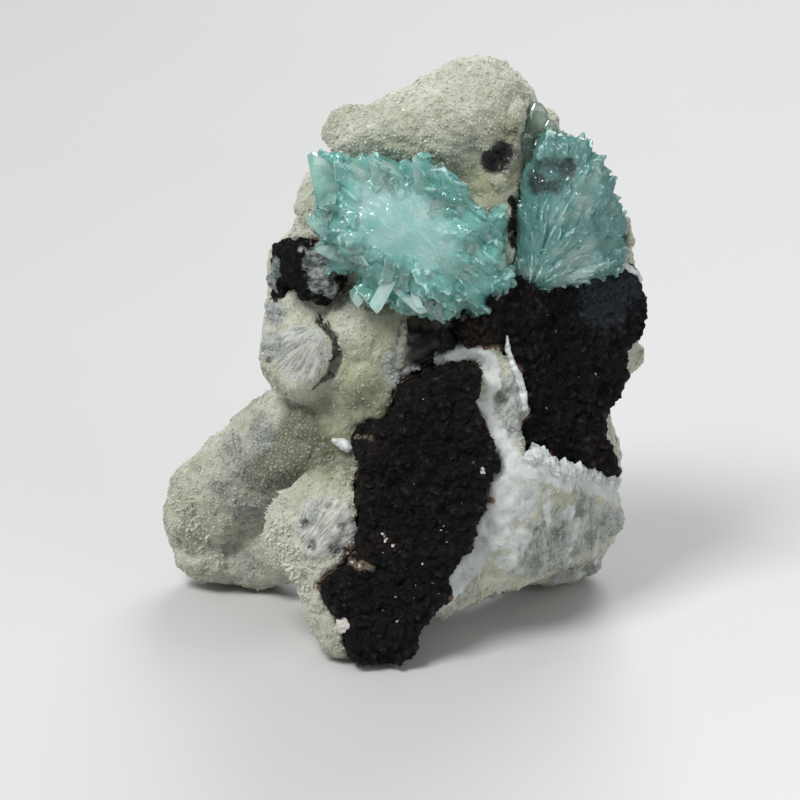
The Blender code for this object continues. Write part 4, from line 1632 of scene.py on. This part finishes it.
def build_ridges(surface, white, column, yellow, pearl, pearly_spot=(342, 624, 13)):
    finishes = {"hollow_column": column, "lobe_rim": yellow}
    made = [
        chain(name, surface, spots, finishes.get(name, white)) for name, spots in RIDGES.items()
    ]
    draw = random.Random(5)
    for index, (u, v, reach) in enumerate((*FLECKS, pearly_spot)):
        spots = [
            (u + draw.uniform(-0.4, 0.4) * reach, v + draw.uniform(-0.5, 0.5) * reach, reach * 0.055, -0.12 * reach * 0.3)
            for _ in range(5)
        ]
        made.append(chain(f"fleck_{index + 1}", surface, spots, pearl))
    return made


def build_studio():
    size = 3.0
    bm = bmesh.new()
    bmesh.ops.create_grid(bm, x_segments=1, y_segments=1, size=size)
    floor = from_bmesh("floor", bm)
    made, plan = new_material("pale_floor")
    where = plan.place()
    tone = plan.mix(plan.clouds(where, 0.4).above(0.3, 0.7), (0.50, 0.50, 0.49), (0.53, 0.53, 0.52))
    shader = plan.get("ShaderNodeBsdfPrincipled", {}, {"Base Color": tone, "Roughness": 0.55})
    finish_material(plan, shader)
    floor.data.materials.append(made)

    world = bpy.data.worlds.new("studio")
    world.use_nodes = True
    back = world.node_tree.nodes["Background"]
    back.inputs["Color"].default_value = (0.92, 0.95, 1.0, 1)
    back.inputs["Strength"].default_value = 0.42
    bpy.context.scene.world = world

    lamps = (
        ("key", (-0.35, -0.40, 0.80), 0.35, 8.6),
        ("fill", (0.60, -0.50, 0.30), 0.50, 1.8),
        ("back", (0.20, 0.70, 0.60), 0.50, 4.0),
    )
    for name, where, width, power in lamps:
        lamp = bpy.data.lights.new(name, "AREA")
        lamp.energy = power
        lamp.size = width
        stand = bpy.data.objects.new(name, lamp)
        bpy.context.scene.collection.objects.link(stand)
        stand.location = where
        aim = Vector((0, 0, 0.04)) - Vector(where)
        stand.rotation_euler = aim.to_track_quat("-Z", "Y").to_euler()

    lens = bpy.data.cameras.new("camera")
    lens.lens = LENS
    lens.sensor_width = SENSOR
    lens.clip_start = 0.01
    camera = bpy.data.objects.new("camera", lens)
    bpy.context.scene.collection.objects.link(camera)
    camera.location = EYE
    camera.rotation_euler = FORWARD.to_track_quat("-Z", "Y").to_euler()
    bpy.context.scene.camera = camera
    bpy.context.scene.view_settings.view_transform = "Standard"


def main():
    build_studio()
    zeolite_look = zeolite_finish("drusy_zeolite", 0.0, 0.12)
    grain_look = zeolite_finish("zeolite_grains", 0.16, 0.34)
    clear = crystal_finish("apophyllite_clear", (0.50, 0.86, 0.78), (0.30, 0.82, 0.70), 160.0, 0.02, 0.80)
    pale_clear = crystal_finish("apophyllite_pale", (0.54, 0.84, 0.77), (0.50, 0.90, 0.82), 120.0, 0.03, 0.78)
    tooth_look = crystal_finish("apophyllite_teeth", (0.44, 0.80, 0.72), (0.26, 0.80, 0.70), 240.0, 0.02, 0.64)
    blade_look = crystal_finish("apophyllite_blade", (0.64, 0.86, 0.80), (0.60, 0.92, 0.86), 80.0, 0.04, 0.66)
    fan_clear = crystal_finish("apophyllite_fan_clear", (0.38, 0.68, 0.63), (0.32, 0.74, 0.68), 200.0, 0.03, 0.75)
    tip_clear = crystal_finish("apophyllite_tip_clear", (0.50, 0.62, 0.50), (0.55, 0.80, 0.66), 200.0, 0.05, 0.80)
    milky = milky_finish("apophyllite_milky", (0.54, 0.75, 0.74), (0.16, 0.49, 0.45), 0.30, 0.12)
    milky_fan = milky_finish("apophyllite_fan_milky", (0.38, 0.56, 0.53), (0.08, 0.26, 0.235), 0.45, 0.12)
    shell = shell_finish("apophyllite_shell", (0.40, 0.80, 0.74), (0.24, 0.82, 0.74), 550.0, 0.74)
    fan_shell = shell_finish("apophyllite_fan_shell", (0.29, 0.60, 0.56), (0.32, 0.73, 0.68), 500.0, 0.76)
    white = plain_finish("white_zeolite", (0.62, 0.65, 0.64), (0.42, 0.46, 0.45), 0.35)
    column = plain_finish("column_zeolite", (0.36, 0.38, 0.31), (0.16, 0.17, 0.13), 0.4)
    yellow = plain_finish("yellow_zeolite", (0.42, 0.45, 0.31), (0.27, 0.29, 0.19), 0.30)
    pearl = plain_finish("pearly_fleck", (0.62, 0.60, 0.55), (0.34, 0.31, 0.27), 0.18)
    needle_black = plain_finish("needle_black", (0.02, 0.02, 0.022), (0.006, 0.006, 0.007), 0.3)

    copies = [copy_of(node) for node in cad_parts]
    cad_surface = surface_of(*copies)
    for copy in copies:
        drop(copy)
    zeolite = build_zeolite(zeolite_look, cad_surface)
    skin = surface_of(zeolite)
    black = basalt_finish("basalt_black", 0.8, 0.5)
    grey = basalt_finish("basalt_grey", 0.3, 1.0)
    front = build_basalt("basalt_front", black, skin)
    right = build_basalt("basalt_right", black, skin)
    left = build_basalt("basalt_left", grey, skin)

    trees = (crust_tree(), placed_tree())
    tooth = rings(
        "tooth",
        [(0.0, 0.86, 0.86, 0.0), (0.62, 1.0, 1.0, 0.20), (0.90, 0.90, 0.80, 0.34), (1.0, 0.66, 0.40, 0.40)],
        0.08,
    )
    prism = rings(
        "prism",
        [(0.0, 0.85, 0.85, 0.0), (0.74, 1.0, 1.0, 0.0), (0.92, 0.80, 0.80, 0.05), (1.0, 0.45, 0.45, 0.08)],
        0.11,
    )
    blade = rings(
        "blade",
        [(0.0, 0.9, 0.9, 0.0), (0.80, 1.0, 1.0, 0.06), (0.95, 0.84, 0.80, 0.10), (1.0, 0.66, 0.45, 0.12)],
        0.12,
    )
    spike = rings("spike", [(0.0, 0.8, 0.8, 0.0), (0.55, 1.0, 1.0, 0.0), (1.0, 0.12, 0.12, 0.0)], 0.12)
    shapes = (tooth, prism, blade)
    druse = build_druse(trees, zeolite, grain_look)
    spray = build_main_spray(
        trees, shapes, clear, pale_clear, tooth_look, blade_look, milky, shell
    )
    fan = build_fan(trees, shapes, fan_clear, milky_fan, fan_shell)
    tip = build_tip(trees, shapes, tip_clear)

    all_rock = surface_of(zeolite, front, right, left)
    ridges = build_ridges(all_rock, white, column, yellow, pearl)
    top_edge = spikes(
        "white_serrations", all_rock, trees, spike, white,
        [(526, 462), (534, 452), (542, 458), (556, 472), (580, 474), (600, 478), (618, 482)],
        80, (1.5, 2.4), (0.05, -0.25, 1.0), 0.42, 12,
    )
    needles = spikes(
        "black_needles", all_rock, trees, spike, needle_black,
        [(488, 168), (494, 160), (500, 152), (506, 148)],
        90, (0.12, 2.0), (0.1, -0.3, 0.3), 0.9, 13,
    )
    dark_tree = spikes(
        "knob_needles", all_rock, trees, spike, needle_black,
        [(320, 318), (324, 326), (330, 332)],
        22, (0.14, 2.2), (-0.3, -0.3, 1.0), 0.5, 14,
    )
    dark_strip = spikes(
        "strip_fibres", all_rock, trees, spike, needle_black,
        [(510, 198), (515, 212), (512, 226), (514, 244)],
        90, (0.25, 1.6), (0.0, -0.5, 0.3), 0.7, 15,
    )
    for shape in (*shapes, spike):
        drop(shape)

    groups = (
        ([zeolite, *druse, *ridges, top_edge, needles, dark_tree, dark_strip], "zeolite_fingers", "zeolite"),
        ([front], "basalt_front", "basalt"),
        ([right], "basalt_right", "basalt"),
        ([left], "basalt_left", "grey_rock"),
        (spray, "apophyllite_main", "apophyllite"),
        (fan, "apophyllite_right", "apophyllite"),
        ([tip], "apophyllite_tip", "clear_tip"),
    )
    for made, node, slot in groups:
        for piece in made:
            move_to(piece, places(piece))
            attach(piece, "root")
            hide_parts(node)
            print(piece.name, sum(len(p.vertices) - 2 for p in piece.data.polygons), "triangles")


main()
